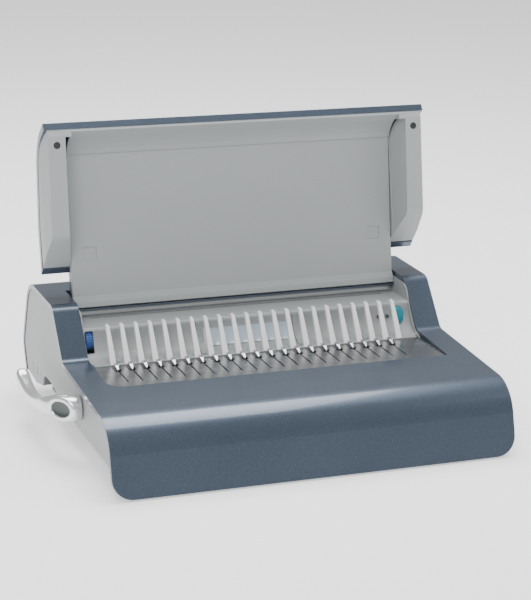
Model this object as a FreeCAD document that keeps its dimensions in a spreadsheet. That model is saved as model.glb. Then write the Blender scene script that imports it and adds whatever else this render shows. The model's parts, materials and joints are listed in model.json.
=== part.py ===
import FreeCAD, Part
import math
import os
import Sketcher

# Comb binding machine, in millimetres.  The design frame has x = 0 on the machine's mid-plane,
# y = 0 at the tips of the fingers with +Y to the rear, and z = 0 on the table.  Every sub-part's
# Placement then shifts it into the row frame, whose origin is under the centre of the whole machine.

DRIVING = {
    # casing
    "frame_shift_x": 16.1, "frame_shift_y": 21.2,
    "body_half": 199.0, "rim_wall": 4.5, "bay_half": 173.0,
    "lip_y": -193.0, "lip_z": 2.0, "brow_y": -175.5, "brow_z": 67.5, "brow_radius": 38.0,
    "foot_y": -14.0, "foot_z": 76.1, "foot_radius": 10.0,
    "crest_y": 25.0, "crest_z": 121.6, "crest_radius": 14.0,
    "heel_y": 125.0, "heel_z": 122.0, "heel_radius": 34.0,
    "tail_y": 152.5, "tail_z": 50.0, "tail_radius": 22.0,
    "skirt_y": 139.5, "skirt_z": 20.6,
    "seam_y": 75.0, "plate_front_y": -87.0, "corner_radius": 20.0,
    "cheek_wall": 2.7, "cheek_low_z": 29.0, "pan_half": 176.0, "pan_front_y": -165.0,
    "pan_rear_y": 130.0, "pan_low_z": 3.5, "pan_top_z": 28.8, "skin": 2.5,
    # comb bay
    "finger_pitch": 14.2875, "finger_top_z": 105.8, "finger_foot_z": 71.8,
    "finger_tip_width": 3.3, "finger_foot_width": 6.0,
    "shelf_z": 101.0, "wall_y": 8.0, "wall_radius": 23.5,
    "slot_front_y": 41.0, "slot_rear_y": 48.0, "slot_half": 156.0,
    "plate_top_z": 71.0, "plate_thick": 1.5, "plate_half": 172.5, "plate_rear_y": -24.5,
    "slit_width": 1.4, "slit_front_y": -72.0, "notch_front_y": -39.5, "notch_width": 7.6,
    # lid, drawn closed
    "hinge_y": 53.0, "hinge_z": 112.5, "lid_open_angle": 101.6,
    "lid_half": 198.6, "lid_neck_half": 171.2, "lid_skin": 3.0, "lid_rim": 7.0,
    "lid_tip_y": -127.0, "lid_tip_z": 77.0, "lid_brow_y": -109.3, "lid_brow_z": 110.3,
    "lid_top_y": -25.0, "lid_top_z": 123.0, "lid_back_y": 54.0, "lid_back_z": 119.0,
    "pin_radius": 3.2, "bumper_y": -105.5, "bumper_z": 71.5,
    # lever and hook carriage
    "lever_y": -79.0, "lever_z": 53.0, "hub_radius": 12.5, "shaft_radius": 5.0,
    "pinion_teeth": 20.0, "rack_x": 128.6, "carriage_low_z": 49.5, "carriage_top_z": 55.5,
    # punch
    "cam_y": 104.0, "cam_z": 76.0, "cam_throw": 4.5, "cam_radius": 14.0, "cam_x": 60.0,
    "gear_x": 157.5, "gear_width": 7.0, "bull_teeth": 48.0, "idler_teeth": 30.0,
    "motor_teeth": 12.0, "idler_y": 84.5, "punch_z": 76.0, "plate_x": 152.0, "plate_wall": 3.0,
    # small controls
    "wheel_y": 15.6, "wheel_z": 87.9, "wheel_x": -166.7, "wheel_radius": 10.3,
    "button_x": 159.0, "button_z": 87.5, "lamp_radius": 1.75, "lamp_z": 87.5,
    "drawer_y": -20.0, "drawer_depth": 95.0, "drawer_length": 240.0,
}

SLITS = 21
FINGERS = SLITS + 1

doc = FreeCAD.newDocument("CombBinder")
sheet = doc.addObject("Spreadsheet::Sheet", "Sizes")
for row, (alias, number) in enumerate(DRIVING.items(), start=1):
    sheet.set(f"A{row}", alias)
    sheet.set(f"B{row}", str(number))
    sheet.setAlias(f"B{row}", alias)
doc.recompute()


class Size:
    """A length that keeps its number together with the sheet expression it comes from."""

    def __init__(self, value, text):
        self.value = float(value)
        self.text = text

    def join(self, other, sign, value):
        return Size(value, f"({self.text} {sign} {text(other)})")

    def __add__(self, other):
        return self.join(other, "+", self.value + number(other))

    def __sub__(self, other):
        return self.join(other, "-", self.value - number(other))

    def __mul__(self, other):
        return self.join(other, "*", self.value * number(other))

    def __truediv__(self, other):
        return self.join(other, "/", self.value / number(other))

    def __radd__(self, other):
        return Size(number(other) + self.value, f"({text(other)} + {self.text})")

    def __rsub__(self, other):
        return Size(number(other) - self.value, f"({text(other)} - {self.text})")

    def __neg__(self):
        return Size(-self.value, f"(0 - {self.text})")


class Sheet:
    """Reads the driving dimensions by name."""

    def __getattr__(self, alias):
        return Size(DRIVING[alias], f"Sizes.{alias}")


def number(size):
    return size.value if isinstance(size, Size) else float(size)


def text(size):
    return size.text if isinstance(size, Size) else repr(float(size))


def bind(thing, name, size):
    """Sets a property, or a sketch constraint, to a size and ties it to the sheet."""
    if isinstance(size, Size):
        thing.setExpression(name, size.text)


S = Sheet()
NODES = []
CUTS = []
PLANES = {"side": "YZ_Plane", "top": "XY_Plane", "front": "XZ_Plane"}
NORMALS = {"side": 1.0, "top": 1.0, "front": -1.0}
AXES = {"side": 0, "top": 2, "front": 1}


def frame_place(thing):
    """Shifts a finished sub-part from the design frame into the row frame."""
    shift = FreeCAD.Vector(number(S.frame_shift_x), number(S.frame_shift_y), 0)
    thing.Placement = FreeCAD.Placement(shift, FreeCAD.Rotation())
    bind(thing, "Placement.Base.x", S.frame_shift_x)
    bind(thing, "Placement.Base.y", S.frame_shift_y)


def lid_place(thing):
    """Swings a lid piece, drawn closed, about the hinge line to its open rest position."""
    turn = FreeCAD.Rotation(FreeCAD.Vector(1, 0, 0), -number(S.lid_open_angle))
    pivot = FreeCAD.Vector(0, number(S.hinge_y), number(S.hinge_z))
    shift = FreeCAD.Vector(number(S.frame_shift_x), number(S.frame_shift_y), 0)
    thing.Placement = FreeCAD.Placement(shift + pivot - turn.multVec(pivot), turn)


def finish(thing, label, place=frame_place):
    """Names a sub-part, places it and lists it for export.

    A bare primitive already has a place in the design frame, so a compound carries the shift.
    """
    if thing.TypeId in ("Part::Box", "Part::Cylinder"):
        bundle = doc.addObject("Part::Compound", "Piece")
        bundle.Links = [thing]
        thing = bundle
    thing.Label = label
    place(thing)
    NODES.append(thing)
    return thing


def new_body(name):
    return doc.addObject("PartDesign::Body", "Body_" + name)


def sketch_on(body, plane, level):
    """An empty sketch on a plane of the body at a level along the plane's axis."""
    sketch = body.newObject("Sketcher::SketchObject", "Outline")
    origin = [part for part in body.Origin.OriginFeatures if part.Role == PLANES[plane]][0]
    sketch.AttachmentSupport = [(origin, "")]
    sketch.MapMode = "FlatFace"
    lift = level if NORMALS[plane] > 0 else 0 - level
    sketch.AttachmentOffset = FreeCAD.Placement(FreeCAD.Vector(0, 0, number(lift)), FreeCAD.Rotation())
    bind(sketch, "AttachmentOffset.Base.z", lift)
    return sketch


def pin_point(sketch, edge, end, across, up):
    """Holds a vertex of a sketch at a distance from the origin along both axes."""
    for kind, size in (("DistanceX", across), ("DistanceY", up)):
        index = sketch.addConstraint(Sketcher.Constraint(kind, -1, 1, edge, end, number(size)))
        bind(sketch, f"Constraints[{index}]", size)


def polygon(sketch, points):
    """A closed outline of straight runs through the given points."""
    first = len(sketch.Geometry)
    count = len(points)
    for here, there in zip(points, points[1:] + points[:1]):
        start = FreeCAD.Vector(number(here[0]), number(here[1]), 0)
        stop = FreeCAD.Vector(number(there[0]), number(there[1]), 0)
        sketch.addGeometry(Part.LineSegment(start, stop), False)
    for step in range(count):
        sketch.addConstraint(
            Sketcher.Constraint("Coincident", first + step, 2, first + (step + 1) % count, 1))
        pin_point(sketch, first + step, 1, points[step][0], points[step][1])


def circle(sketch, centre, radius):
    """A circle held by its centre and radius."""
    middle = FreeCAD.Vector(number(centre[0]), number(centre[1]), 0)
    edge = sketch.addGeometry(Part.Circle(middle, FreeCAD.Vector(0, 0, 1), number(radius)), False)
    pin_point(sketch, edge, 3, centre[0], centre[1])
    index = sketch.addConstraint(Sketcher.Constraint("Radius", edge, number(radius)))
    bind(sketch, f"Constraints[{index}]", radius)


def box_outline(left, low, right, high):
    return [(left, low), (right, low), (right, high), (left, high)]


def sweep(body, sketch, plane, low, high, cut):
    """Pads or pockets a sketch that stands at the low (pad) or far (pocket) level."""
    kind = "PartDesign::Pocket" if cut else "PartDesign::Pad"
    feature = body.newObject(kind, "Cut" if cut else "Pad")
    feature.Profile = sketch
    feature.Type = "Length"
    feature.Length = number(high) - number(low)
    if isinstance(low, Size) or isinstance(high, Size):
        feature.setExpression("Length", f"{text(high)} - {text(low)}")
    if cut:
        CUTS.append(feature)
    return feature


def prism(body, plane, outlines, low, high, cut=False):
    """Extrudes one or more outlines between two levels of the plane's axis."""
    base = low if (NORMALS[plane] > 0) != cut else high
    sketch = sketch_on(body, plane, base)
    for outline in outlines:
        polygon(sketch, outline)
    return sweep(body, sketch, plane, low, high, cut)


def discs(body, plane, centres, radius, low, high, cut=False):
    """Extrudes circles of one radius between two levels of the plane's axis."""
    base = low if (NORMALS[plane] > 0) != cut else high
    sketch = sketch_on(body, plane, base)
    for centre in centres:
        circle(sketch, centre, radius)
    return sweep(body, sketch, plane, low, high, cut)


def pill(body, plane, centre, half_width, half_height, low, high, cut=False):
    """A slot shape with round ends, upright in its plane."""
    across, up = centre
    reach = half_height - half_width
    prism(body, plane, [box_outline(across - half_width, up - reach, across + half_width, up + reach)],
          low, high, cut)
    discs(body, plane, [(across, up - reach)], half_width, low, high, cut)
    discs(body, plane, [(across, up + reach)], half_width, low, high, cut)


def edges_along(shape, plane, corners, reach=0.4):
    """Names of the straight edges that run along a plane's axis through given corners."""
    axis = AXES[plane]
    across = [index for index in (0, 1, 2) if index != axis]
    wanted = [(number(a), number(b)) for a, b in corners]
    names = []
    for index, edge in enumerate(shape.Edges, start=1):
        if len(edge.Vertexes) != 2:
            continue
        start, stop = (vertex.Point for vertex in edge.Vertexes)
        if any(abs(start[side] - stop[side]) > 0.01 for side in across):
            continue
        place = (start[across[0]], start[across[1]])
        if any(math.dist(place, corner) < reach for corner in wanted):
            names.append(f"Edge{index}")
    return names


def rounded(body, plane, corners, radius, kind="PartDesign::Fillet"):
    """Rounds or chamfers the edges along a plane's axis at the given corners."""
    doc.recompute()
    base = body.Tip
    names = edges_along(base.Shape, plane, corners)
    if not names:
        raise ValueError(f"no edge to round on {body.Name} at {corners}")
    feature = body.newObject(kind, "Round")
    feature.Base = (base, names)
    name = "Radius" if kind.endswith("Fillet") else "Size"
    setattr(feature, name, number(radius))
    bind(feature, name, radius)
    return feature


def offset_line(points, distance):
    """An open run of points moved sideways, with mitred corners, to its right-hand side."""
    moved = []
    flat = [(number(a), number(b)) for a, b in points]
    for index, here in enumerate(flat):
        before = flat[max(index - 1, 0)]
        after = flat[min(index + 1, len(flat) - 1)]
        legs = [leg for leg in (unit(before, here), unit(here, after)) if leg]
        normals = [(leg[1], -leg[0]) for leg in legs]
        middle = (sum(n[0] for n in normals), sum(n[1] for n in normals))
        length = math.hypot(*middle)
        middle = (middle[0] / length, middle[1] / length)
        mitre = distance / (middle[0] * normals[0][0] + middle[1] * normals[0][1])
        moved.append((here[0] + middle[0] * mitre, here[1] + middle[1] * mitre))
    return moved


def bent(before, corner, after, radius, steps=6):
    """Points along the arc of a radius that rounds the corner between two straight runs."""
    points = [(number(a), number(b)) for a, b in (before, corner, after)]
    come, leave = unit(points[0], points[1]), unit(points[1], points[2])
    turn = math.atan2(come[0] * leave[1] - come[1] * leave[0], come[0] * leave[0] + come[1] * leave[1])
    reach = radius * math.tan(abs(turn) / 2)
    hand = 1 if turn > 0 else -1
    start = (points[1][0] - come[0] * reach, points[1][1] - come[1] * reach)
    centre = (start[0] - hand * come[1] * radius, start[1] + hand * come[0] * radius)
    spoke = (start[0] - centre[0], start[1] - centre[1])
    run = []
    for step in range(steps + 1):
        swung = turned(spoke, turn * step / steps)
        run.append((centre[0] + swung[0], centre[1] + swung[1]))
    return run


def turned(point, angle):
    c, s = math.cos(angle), math.sin(angle)
    return (point[0] * c - point[1] * s, point[0] * s + point[1] * c)


def unit(start, stop):
    span = (stop[0] - start[0], stop[1] - start[1])
    length = math.hypot(*span)
    return (span[0] / length, span[1] / length) if length > 0 else None


def crossing(first, second, level):
    """The point where the line through two points meets a level of its first coordinate."""
    share = (number(level) - first[0]) / (second[0] - first[0])
    return (number(level), first[1] + (second[1] - first[1]) * share)


def group(label, shapes, place=frame_place):
    """Several equal solids kept as one sub-part."""
    bundle = doc.addObject("Part::Compound", "Group")
    bundle.Links = shapes
    return finish(bundle, label, place)


def cylinder(axis, centre, radius, length):
    """A round bar that starts at a centre and runs along an axis."""
    bar = doc.addObject("Part::Cylinder", "Bar")
    bar.Radius = number(radius)
    bar.Height = number(length)
    bind(bar, "Radius", radius)
    bind(bar, "Height", length)
    turn = FreeCAD.Rotation(FreeCAD.Vector(0, 0, 1), axis)
    bar.Placement = FreeCAD.Placement(FreeCAD.Vector(*[number(part) for part in centre]), turn)
    for name, part in zip("xyz", centre):
        bind(bar, f"Placement.Base.{name}", part)
    return bar


def block(low, high):
    """A box between two opposite corners."""
    box = doc.addObject("Part::Box", "Block")
    for name, letter, start, stop in zip(("Length", "Width", "Height"), "xyz", low, high):
        setattr(box, name, number(stop) - number(start))
        if isinstance(start, Size) or isinstance(stop, Size):
            box.setExpression(name, f"{text(stop)} - {text(start)}")
        bind(box, f"Placement.Base.{letter}", start)
    box.Placement.Base = FreeCAD.Vector(*[number(part) for part in low])
    return box


def minus(base, tools):
    cut = doc.addObject("Part::Cut", "Cut")
    cut.Base = base
    cut.Tool = tools[0] if len(tools) == 1 else fused(tools)
    return cut


def fused(shapes):
    joined = doc.addObject("Part::MultiFuse", "Joined")
    joined.Shapes = shapes
    return joined


X_AXIS = FreeCAD.Vector(1, 0, 0)
Y_AXIS = FreeCAD.Vector(0, 1, 0)
Z_AXIS = FreeCAD.Vector(0, 0, 1)
BOTH = (-1, 1)


def finger_x(index):
    """The x of a finger, counted from 0 on the left."""
    return S.finger_pitch * (index - SLITS / 2)


# ---------------------------------------------------------------- casing

OUTER = [
    (S.lip_y, S.lip_z), (S.brow_y, S.brow_z), (S.foot_y, S.foot_z), (S.crest_y, S.crest_z),
    (S.heel_y, S.heel_z), (S.tail_y, S.tail_z), (S.skirt_y, S.skirt_z),
]
INNER = offset_line(OUTER, number(S.rim_wall))
SEAM_OUT = crossing([number(v) for v in OUTER[3]], [number(v) for v in OUTER[4]], S.seam_y)
SEAM_IN = crossing(INNER[3], INNER[4], S.seam_y)


def inside_casing(clearance):
    """The run of the casing's inner face, moved inwards."""
    return offset_line(OUTER, number(S.rim_wall) + clearance)


def top_cover():
    """Deck, front lip and the front half of both pillars, as one bent shell."""
    body = new_body("top_cover")
    outline = OUTER[:4] + [SEAM_OUT, SEAM_IN] + list(reversed(INNER[:4]))
    prism(body, "side", [outline], -S.body_half, S.body_half)
    rounded(body, "side", [OUTER[1]], S.brow_radius)
    rounded(body, "side", [INNER[1]], S.brow_radius - S.rim_wall)
    rounded(body, "side", [OUTER[2]], S.foot_radius)
    rounded(body, "side", [INNER[2]], S.foot_radius + S.rim_wall)
    rounded(body, "side", [OUTER[3]], S.crest_radius)
    rounded(body, "side", [INNER[3]], S.crest_radius - S.rim_wall)
    bay = box_outline(-S.bay_half, S.plate_front_y, S.bay_half, S.seam_y + 5)
    prism(body, "top", [bay], 55, 130, cut=True)
    rounded(body, "top", [(-S.bay_half, S.plate_front_y)], 16)
    rounded(body, "top", [(S.bay_half, S.plate_front_y)], 2)
    doc.recompute()
    lip = body.Tip
    names = [f"Edge{i}" for i, edge in enumerate(lip.Shape.Edges, start=1)
             if abs(edge.Length - number(S.rim_wall)) < 0.1
             and all(abs(abs(v.X) - number(S.body_half)) < 0.1 and v.Z < 4 for v in edge.Vertexes)]
    corner = body.newObject("PartDesign::Fillet", "Round")
    corner.Base = (lip, names)
    corner.Radius = number(S.corner_radius)
    bind(corner, "Radius", S.corner_radius)
    wall = inside_casing(-0.6)
    inner_wall = [(-1, 84), wall[3], crossing(wall[3], wall[4], S.seam_y), (S.seam_y, 96), (12, 96)]
    for side in BOTH:
        near = S.bay_half if side > 0 else -S.bay_half - S.skin
        prism(body, "side", [inner_wall], near, near + S.skin)
    reach = S.bay_half + S.skin + 1.5
    discs(body, "side", [(S.hinge_y, S.hinge_z)], S.pin_radius, -reach, reach, cut=True)
    return finish(body, "top_cover")


def rear_cover():
    """The back of the casing, with the rear half of both pillars."""
    body = new_body("rear_cover")
    start = (S.seam_y + 0.3, SEAM_OUT[1])
    outline = [start] + OUTER[4:] + list(reversed(INNER[4:])) + [(S.seam_y + 0.3, SEAM_IN[1])]
    prism(body, "side", [outline], -S.body_half, S.body_half)
    rounded(body, "side", [OUTER[4]], S.heel_radius)
    rounded(body, "side", [INNER[4]], S.heel_radius - S.rim_wall)
    rounded(body, "side", [OUTER[5]], S.tail_radius)
    rounded(body, "side", [INNER[5]], S.tail_radius - S.rim_wall)
    front = box_outline(-S.bay_half, S.seam_y + 0.3, S.bay_half, S.seam_y + 0.3 + S.skin)
    prism(body, "top", [front], 100.2, SEAM_IN[1] + 1)
    window = box_outline(-166, 31, -96, 59)
    prism(body, "front", [window], 130, 160, cut=True)
    return finish(body, "rear_cover")


def cheek(side):
    """A side panel inside the casing's rim, with a carry recess and a closing ledge below."""
    label = "right_cheek" if side > 0 else "left_cheek"
    body = new_body(label)
    rim = inside_casing(0.05)
    low_front = (number(S.lip_y) + 12.6, number(S.cheek_low_z))
    low_rear = (rim[6][0] - 1.5, rim[6][1] + 1)
    outline = [low_front, *rim[1:6], low_rear, (96, 20.6), (72, 26), (0, S.cheek_low_z)]
    inner = S.body_half - 0.8 - S.cheek_wall
    low, high = (inner, S.body_half - 0.8) if side > 0 else (0.8 - S.body_half, -inner)
    prism(body, "side", [outline], low, high)
    rounded(body, "side", [rim[1]], S.brow_radius - S.rim_wall)
    rounded(body, "side", [rim[2]], S.foot_radius + S.rim_wall)
    rounded(body, "side", [rim[3]], S.crest_radius - S.rim_wall)
    rounded(body, "side", [rim[4]], S.heel_radius - S.rim_wall)
    rounded(body, "side", [rim[5]], S.tail_radius - S.rim_wall)
    ledge_low, ledge_high = (S.pan_half + 0.3, inner) if side > 0 else (-inner, -S.pan_half - 0.3)
    ledge = [(-180, S.cheek_low_z), (-1, S.cheek_low_z), (-1, 31.5), (-179.4, 31.5)]
    rear_ledge = [(73, 26), (96, 20.7), (133, 20.7), (133, 23.2), (96, 23.2), (73, 28.5)]
    prism(body, "side", [ledge, rear_ledge], ledge_low, ledge_high)
    back_low, back_high = (183.5, inner) if side > 0 else (-inner, -183.5)
    prism(body, "side", [box_outline(-1, 26.5, 73, 43)], back_low, back_high)
    scoop = [(2, 24), (12, 36), (34, 40), (56, 40), (67, 37), (70, 24)]
    cut_low, cut_high = (186, 200) if side > 0 else (-200, -186)
    prism(body, "side", [scoop], cut_low, cut_high, cut=True)
    rounded(body, "side", [scoop[1], scoop[2]], 16)
    rounded(body, "side", [scoop[4]], 6)
    groove_floor = number(S.body_half) - 0.8 - 0.9
    for place in (108, 92, 76.5):
        groove = box_outline(place - 1.0, 28 + 4 * (108 - place) / 31, place + 1.0, 40)
        face_low, face_high = (groove_floor, 200) if side > 0 else (-200, -groove_floor)
        prism(body, "side", [groove], face_low, face_high, cut=True)
    if side < 0:
        discs(body, "side", [(S.lever_y, S.lever_z)], S.shaft_radius + 0.4, -200, -190, cut=True)
    return finish(body, label)


def base_pan():
    """The tray under the machine that carries the chassis, with a way out for the drawer."""
    body = new_body("base_pan")
    outer = box_outline(-S.pan_half, S.pan_front_y, S.pan_half, S.pan_rear_y)
    prism(body, "top", [outer], S.pan_low_z, S.pan_top_z)
    corners = [(side * S.pan_half.value, y) for side in BOTH for y in (S.pan_front_y, S.pan_rear_y)]
    rounded(body, "top", corners, 10)
    hollow = box_outline(S.skin - S.pan_half, S.pan_front_y + S.skin, S.pan_half - S.skin,
                         S.pan_rear_y - S.skin)
    prism(body, "top", [hollow], S.pan_low_z + S.skin, S.pan_top_z + 1, cut=True)
    mouth = box_outline(S.drawer_y - 0.6, 6.9, S.drawer_y + S.drawer_depth + 0.6, 25.0)
    prism(body, "side", [mouth], S.pan_half - 5, S.pan_half + 1, cut=True)
    return finish(body, "base_pan")


FOOT_PLACES = [(side * 150.0, y) for side in BOTH for y in (-140.0, 105.0)]


def rubber_feet():
    feet = [cylinder(Z_AXIS, (x, y, 0), 9, S.pan_low_z) for x, y in FOOT_PLACES]
    return group("rubber_feet", feet)


def base_screws():
    """Screws that hold the chassis to the pan."""
    screws = []
    for x in (-160.0, 160.0):
        for y in (-90.0, 90.0):
            head = cylinder(Z_AXIS, (x, y, S.pan_low_z + S.skin), 4, 2.4)
            screws.append(head)
    return group("base_screws", screws)


# ---------------------------------------------------------------- comb bay

def comb_housing():
    """The curved wall behind the fingers, the shelf with the paper slot, and both end walls."""
    body = new_body("comb_housing")
    skin = number(S.skin)
    wall, shelf = S.wall_y, S.shelf_z
    foot_z = S.finger_foot_z + 0.2
    outline = [(-16.3, foot_z), (wall, foot_z), (wall, shelf), (S.seam_y - 0.3, shelf),
               (S.seam_y - 0.3, shelf - S.skin), (wall + S.skin, shelf - S.skin),
               (wall + S.skin, foot_z - S.skin), (-16.3, foot_z - S.skin)]
    prism(body, "side", [outline], -S.bay_half, S.bay_half)
    rounded(body, "side", [outline[1]], S.wall_radius)
    rounded(body, "side", [outline[6]], S.wall_radius + skin)
    rounded(body, "side", [outline[2]], 3)
    shoulder = [(-24, 69.6), (-8, 76), (6, 95), (15, 112), (22, 116.2), (S.seam_y - 0.3, 117),
                (S.seam_y - 0.3, 90), (14, 90), (-16, 69.6)]
    for side in BOTH:
        low = S.bay_half - 1.2 if side > 0 else -S.bay_half + 0.05
        high = S.bay_half - 0.05 if side > 0 else 1.2 - S.bay_half
        prism(body, "side", [shoulder], low, high)
    discs(body, "side", [(S.hinge_y, S.hinge_z)], S.pin_radius, -S.bay_half - 1, S.bay_half + 1, cut=True)
    slot = box_outline(-S.slot_half, S.slot_front_y, S.slot_half, S.slot_rear_y)
    prism(body, "top", [slot], S.shelf_z - 6, S.shelf_z + 1, cut=True)
    slot_low, slot_high = S.wheel_z - 10.6, S.wheel_z + 10.5
    wheel_slot = box_outline(S.wheel_x - 4.3, slot_low, S.wheel_x + 4.3, slot_high)
    prism(body, "front", [wheel_slot], -12, 12.5, cut=True)
    rounded(body, "front", [(S.wheel_x + sx * 4.3, z) for sx in BOTH for z in (slot_low, slot_high)], 2)
    pill(body, "front", (S.button_x, S.button_z), 6.2, 9.2, -12, 12.5, cut=True)
    discs(body, "front", [(137.7, S.lamp_z), (147.5, S.lamp_z)], S.lamp_radius, -12, 14, cut=True)
    return finish(body, "comb_housing")


def wall_band(thick):
    """A section that lines the curved wall, before its bend is rounded."""
    foot_z, top_z = S.finger_foot_z + 0.2, S.shelf_z - 3.2
    return [(-15.6, foot_z), (S.wall_y, foot_z), (S.wall_y, top_z),
            (S.wall_y - thick, top_z), (S.wall_y - thick, foot_z + thick), (-15.6, foot_z + thick)]


def wall_ribs():
    """Four upright ribs that stand on the curved wall."""
    thick = 1.6
    outline = wall_band(thick)
    ribs = []
    for centre in (-143.0, -56.0, 46.0, 116.0):
        body = new_body("wall_rib")
        prism(body, "side", [outline], centre - 2.0, centre + 2.0)
        rounded(body, "side", [outline[1]], S.wall_radius)
        rounded(body, "side", [outline[4]], S.wall_radius - thick)
        ribs.append(body)
    return group("wall_ribs", ribs)


def size_strip():
    """The pale comb size guide, bent to the curved wall."""
    body = new_body("size_strip")
    thick = 0.9
    outline = wall_band(thick)
    prism(body, "side", [outline], -50, 40)
    rounded(body, "side", [outline[1]], S.wall_radius)
    rounded(body, "side", [outline[4]], S.wall_radius - thick)
    prism(body, "side", [box_outline(-20, 60, 20, 76.5)], -60, 60, cut=True)
    prism(body, "side", [box_outline(-20, 91, 20, 110)], -60, 60, cut=True)
    return finish(body, "size_strip")


def comb_plate():
    """The steel plate under the comb, with a notch and a slit for each hook."""
    body = new_body("comb_plate")
    low = S.plate_top_z - S.plate_thick
    outer = box_outline(-S.plate_half, S.plate_front_y + 0.3, S.plate_half, S.plate_rear_y)
    prism(body, "top", [outer], low, S.plate_top_z)
    rounded(body, "top", [(-S.plate_half, S.plate_front_y + 0.3)], 15.5)
    rounded(body, "top", [(S.plate_half, S.plate_front_y + 0.3)], 1.8)
    notches, slits = [], []
    for index in range(FINGERS):
        x = finger_x(index)
        half = S.notch_width / 2
        front = S.notch_front_y if index < SLITS else S.plate_rear_y - 4
        notches.append([(x - half, S.plate_rear_y + 1), (x - half, front + 3), (x - half + 2, front),
                        (x + half - 2, front), (x + half, front + 3), (x + half, S.plate_rear_y + 1)])
        if index < SLITS:
            half_slit = S.slit_width / 2
            slits.append(box_outline(x - half_slit, S.slit_front_y, x + half_slit, S.notch_front_y + 1))
    prism(body, "top", notches, low - 1, S.plate_top_z + 1, cut=True)
    prism(body, "top", slits, low - 1, S.plate_top_z + 1, cut=True)
    return finish(body, "comb_plate")


def finger(x):
    """A tapered finger that leans back from the rail, with a rounded tip and a slim foot."""
    blade = doc.addObject("Part::Wedge", "Blade")
    height = number(S.finger_top_z) - number(S.finger_foot_z)
    foot, tip = number(S.finger_foot_width) / 2, number(S.finger_tip_width) / 2
    blade.Ymin, blade.Ymax = 0.0, height
    blade.Xmin, blade.Xmax, blade.X2min, blade.X2max = -foot, foot, -tip, tip
    blade.Zmin, blade.Zmax = 17.0, 21.0
    blade.Z2min, blade.Z2max = -4.6, -0.6
    bind(blade, "Ymax", S.finger_top_z - S.finger_foot_z)
    bind(blade, "Xmax", S.finger_foot_width / 2)
    bind(blade, "Xmin", -(S.finger_foot_width / 2))
    bind(blade, "X2max", S.finger_tip_width / 2)
    bind(blade, "X2min", -(S.finger_tip_width / 2))
    turn = FreeCAD.Rotation(X_AXIS, 90)
    blade.Placement = FreeCAD.Placement(FreeCAD.Vector(number(x), 0, number(S.finger_foot_z)), turn)
    bind(blade, "Placement.Base.x", x)
    bind(blade, "Placement.Base.z", S.finger_foot_z)
    return blade


def comb_fingers():
    """All the fingers, each with its two tip edges rounded."""
    blades = [finger(finger_x(index)) for index in range(FINGERS)]
    doc.recompute()
    top_z = number(S.finger_top_z) - 0.1
    tops = [i for i, edge in enumerate(blades[0].Shape.Edges, start=1)
            if all(v.Z > top_z for v in edge.Vertexes)
            and abs(edge.Vertexes[0].Y - edge.Vertexes[1].Y) > 1]
    radius = number(S.finger_tip_width) / 2 - 0.15
    fingers = []
    for blade in blades:
        rounded_blade = doc.addObject("Part::Fillet", "Finger")
        rounded_blade.Base = blade
        rounded_blade.Edges = [(index, radius, radius) for index in tops]
        fingers.append(rounded_blade)
    return group("comb_fingers", fingers)


def finger_rail():
    """The rail that the fingers stand on, between the curved wall and the comb plate."""
    rail = block((-S.bay_half + 4, -22.2, 66.2), (S.bay_half - 4, -16.5, S.finger_foot_z))
    return finish(rail, "finger_rail")


# ---------------------------------------------------------------- hook carriage

def hook_blade(x):
    """A hook: a thin neck through the plate and a tapered nose above it."""
    neck_half = 0.4
    neck = block((x - neck_half, -38.4, S.carriage_top_z), (x + neck_half, -34.9, 72.2))
    nose = doc.addObject("Part::Wedge", "Nose")
    nose.Ymin, nose.Ymax = 0.0, 3.6
    nose.Xmin, nose.Xmax, nose.X2min, nose.X2max = -0.5, 0.5, -1.9, 1.9
    nose.Zmin, nose.Zmax = 34.9, 38.4
    nose.Z2min, nose.Z2max = 24.6, 31.6
    turn = FreeCAD.Rotation(X_AXIS, 90)
    nose.Placement = FreeCAD.Placement(FreeCAD.Vector(number(x), 0, 71.4), turn)
    bind(nose, "Placement.Base.x", x)
    return fused([neck, nose])


def hook_blades():
    return group("hook_blades", [hook_blade(finger_x(index)) for index in range(SLITS)])


def hook_bar():
    """The bar that carries every hook."""
    bar = block((-S.plate_x + 1.5, -40.5, S.carriage_low_z), (S.plate_x - 1.5, -33.5, S.carriage_top_z))
    return finish(bar, "hook_bar")


def involute(base_radius, roll):
    """A point of the involute of a circle at a roll angle."""
    return (base_radius * (math.cos(roll) + roll * math.sin(roll)),
            base_radius * (math.sin(roll) - roll * math.cos(roll)))


GEAR_MODULE = 1.0
PRESSURE = math.radians(20)
BACKLASH = 0.24
BEYOND_BASE = 5


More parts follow.
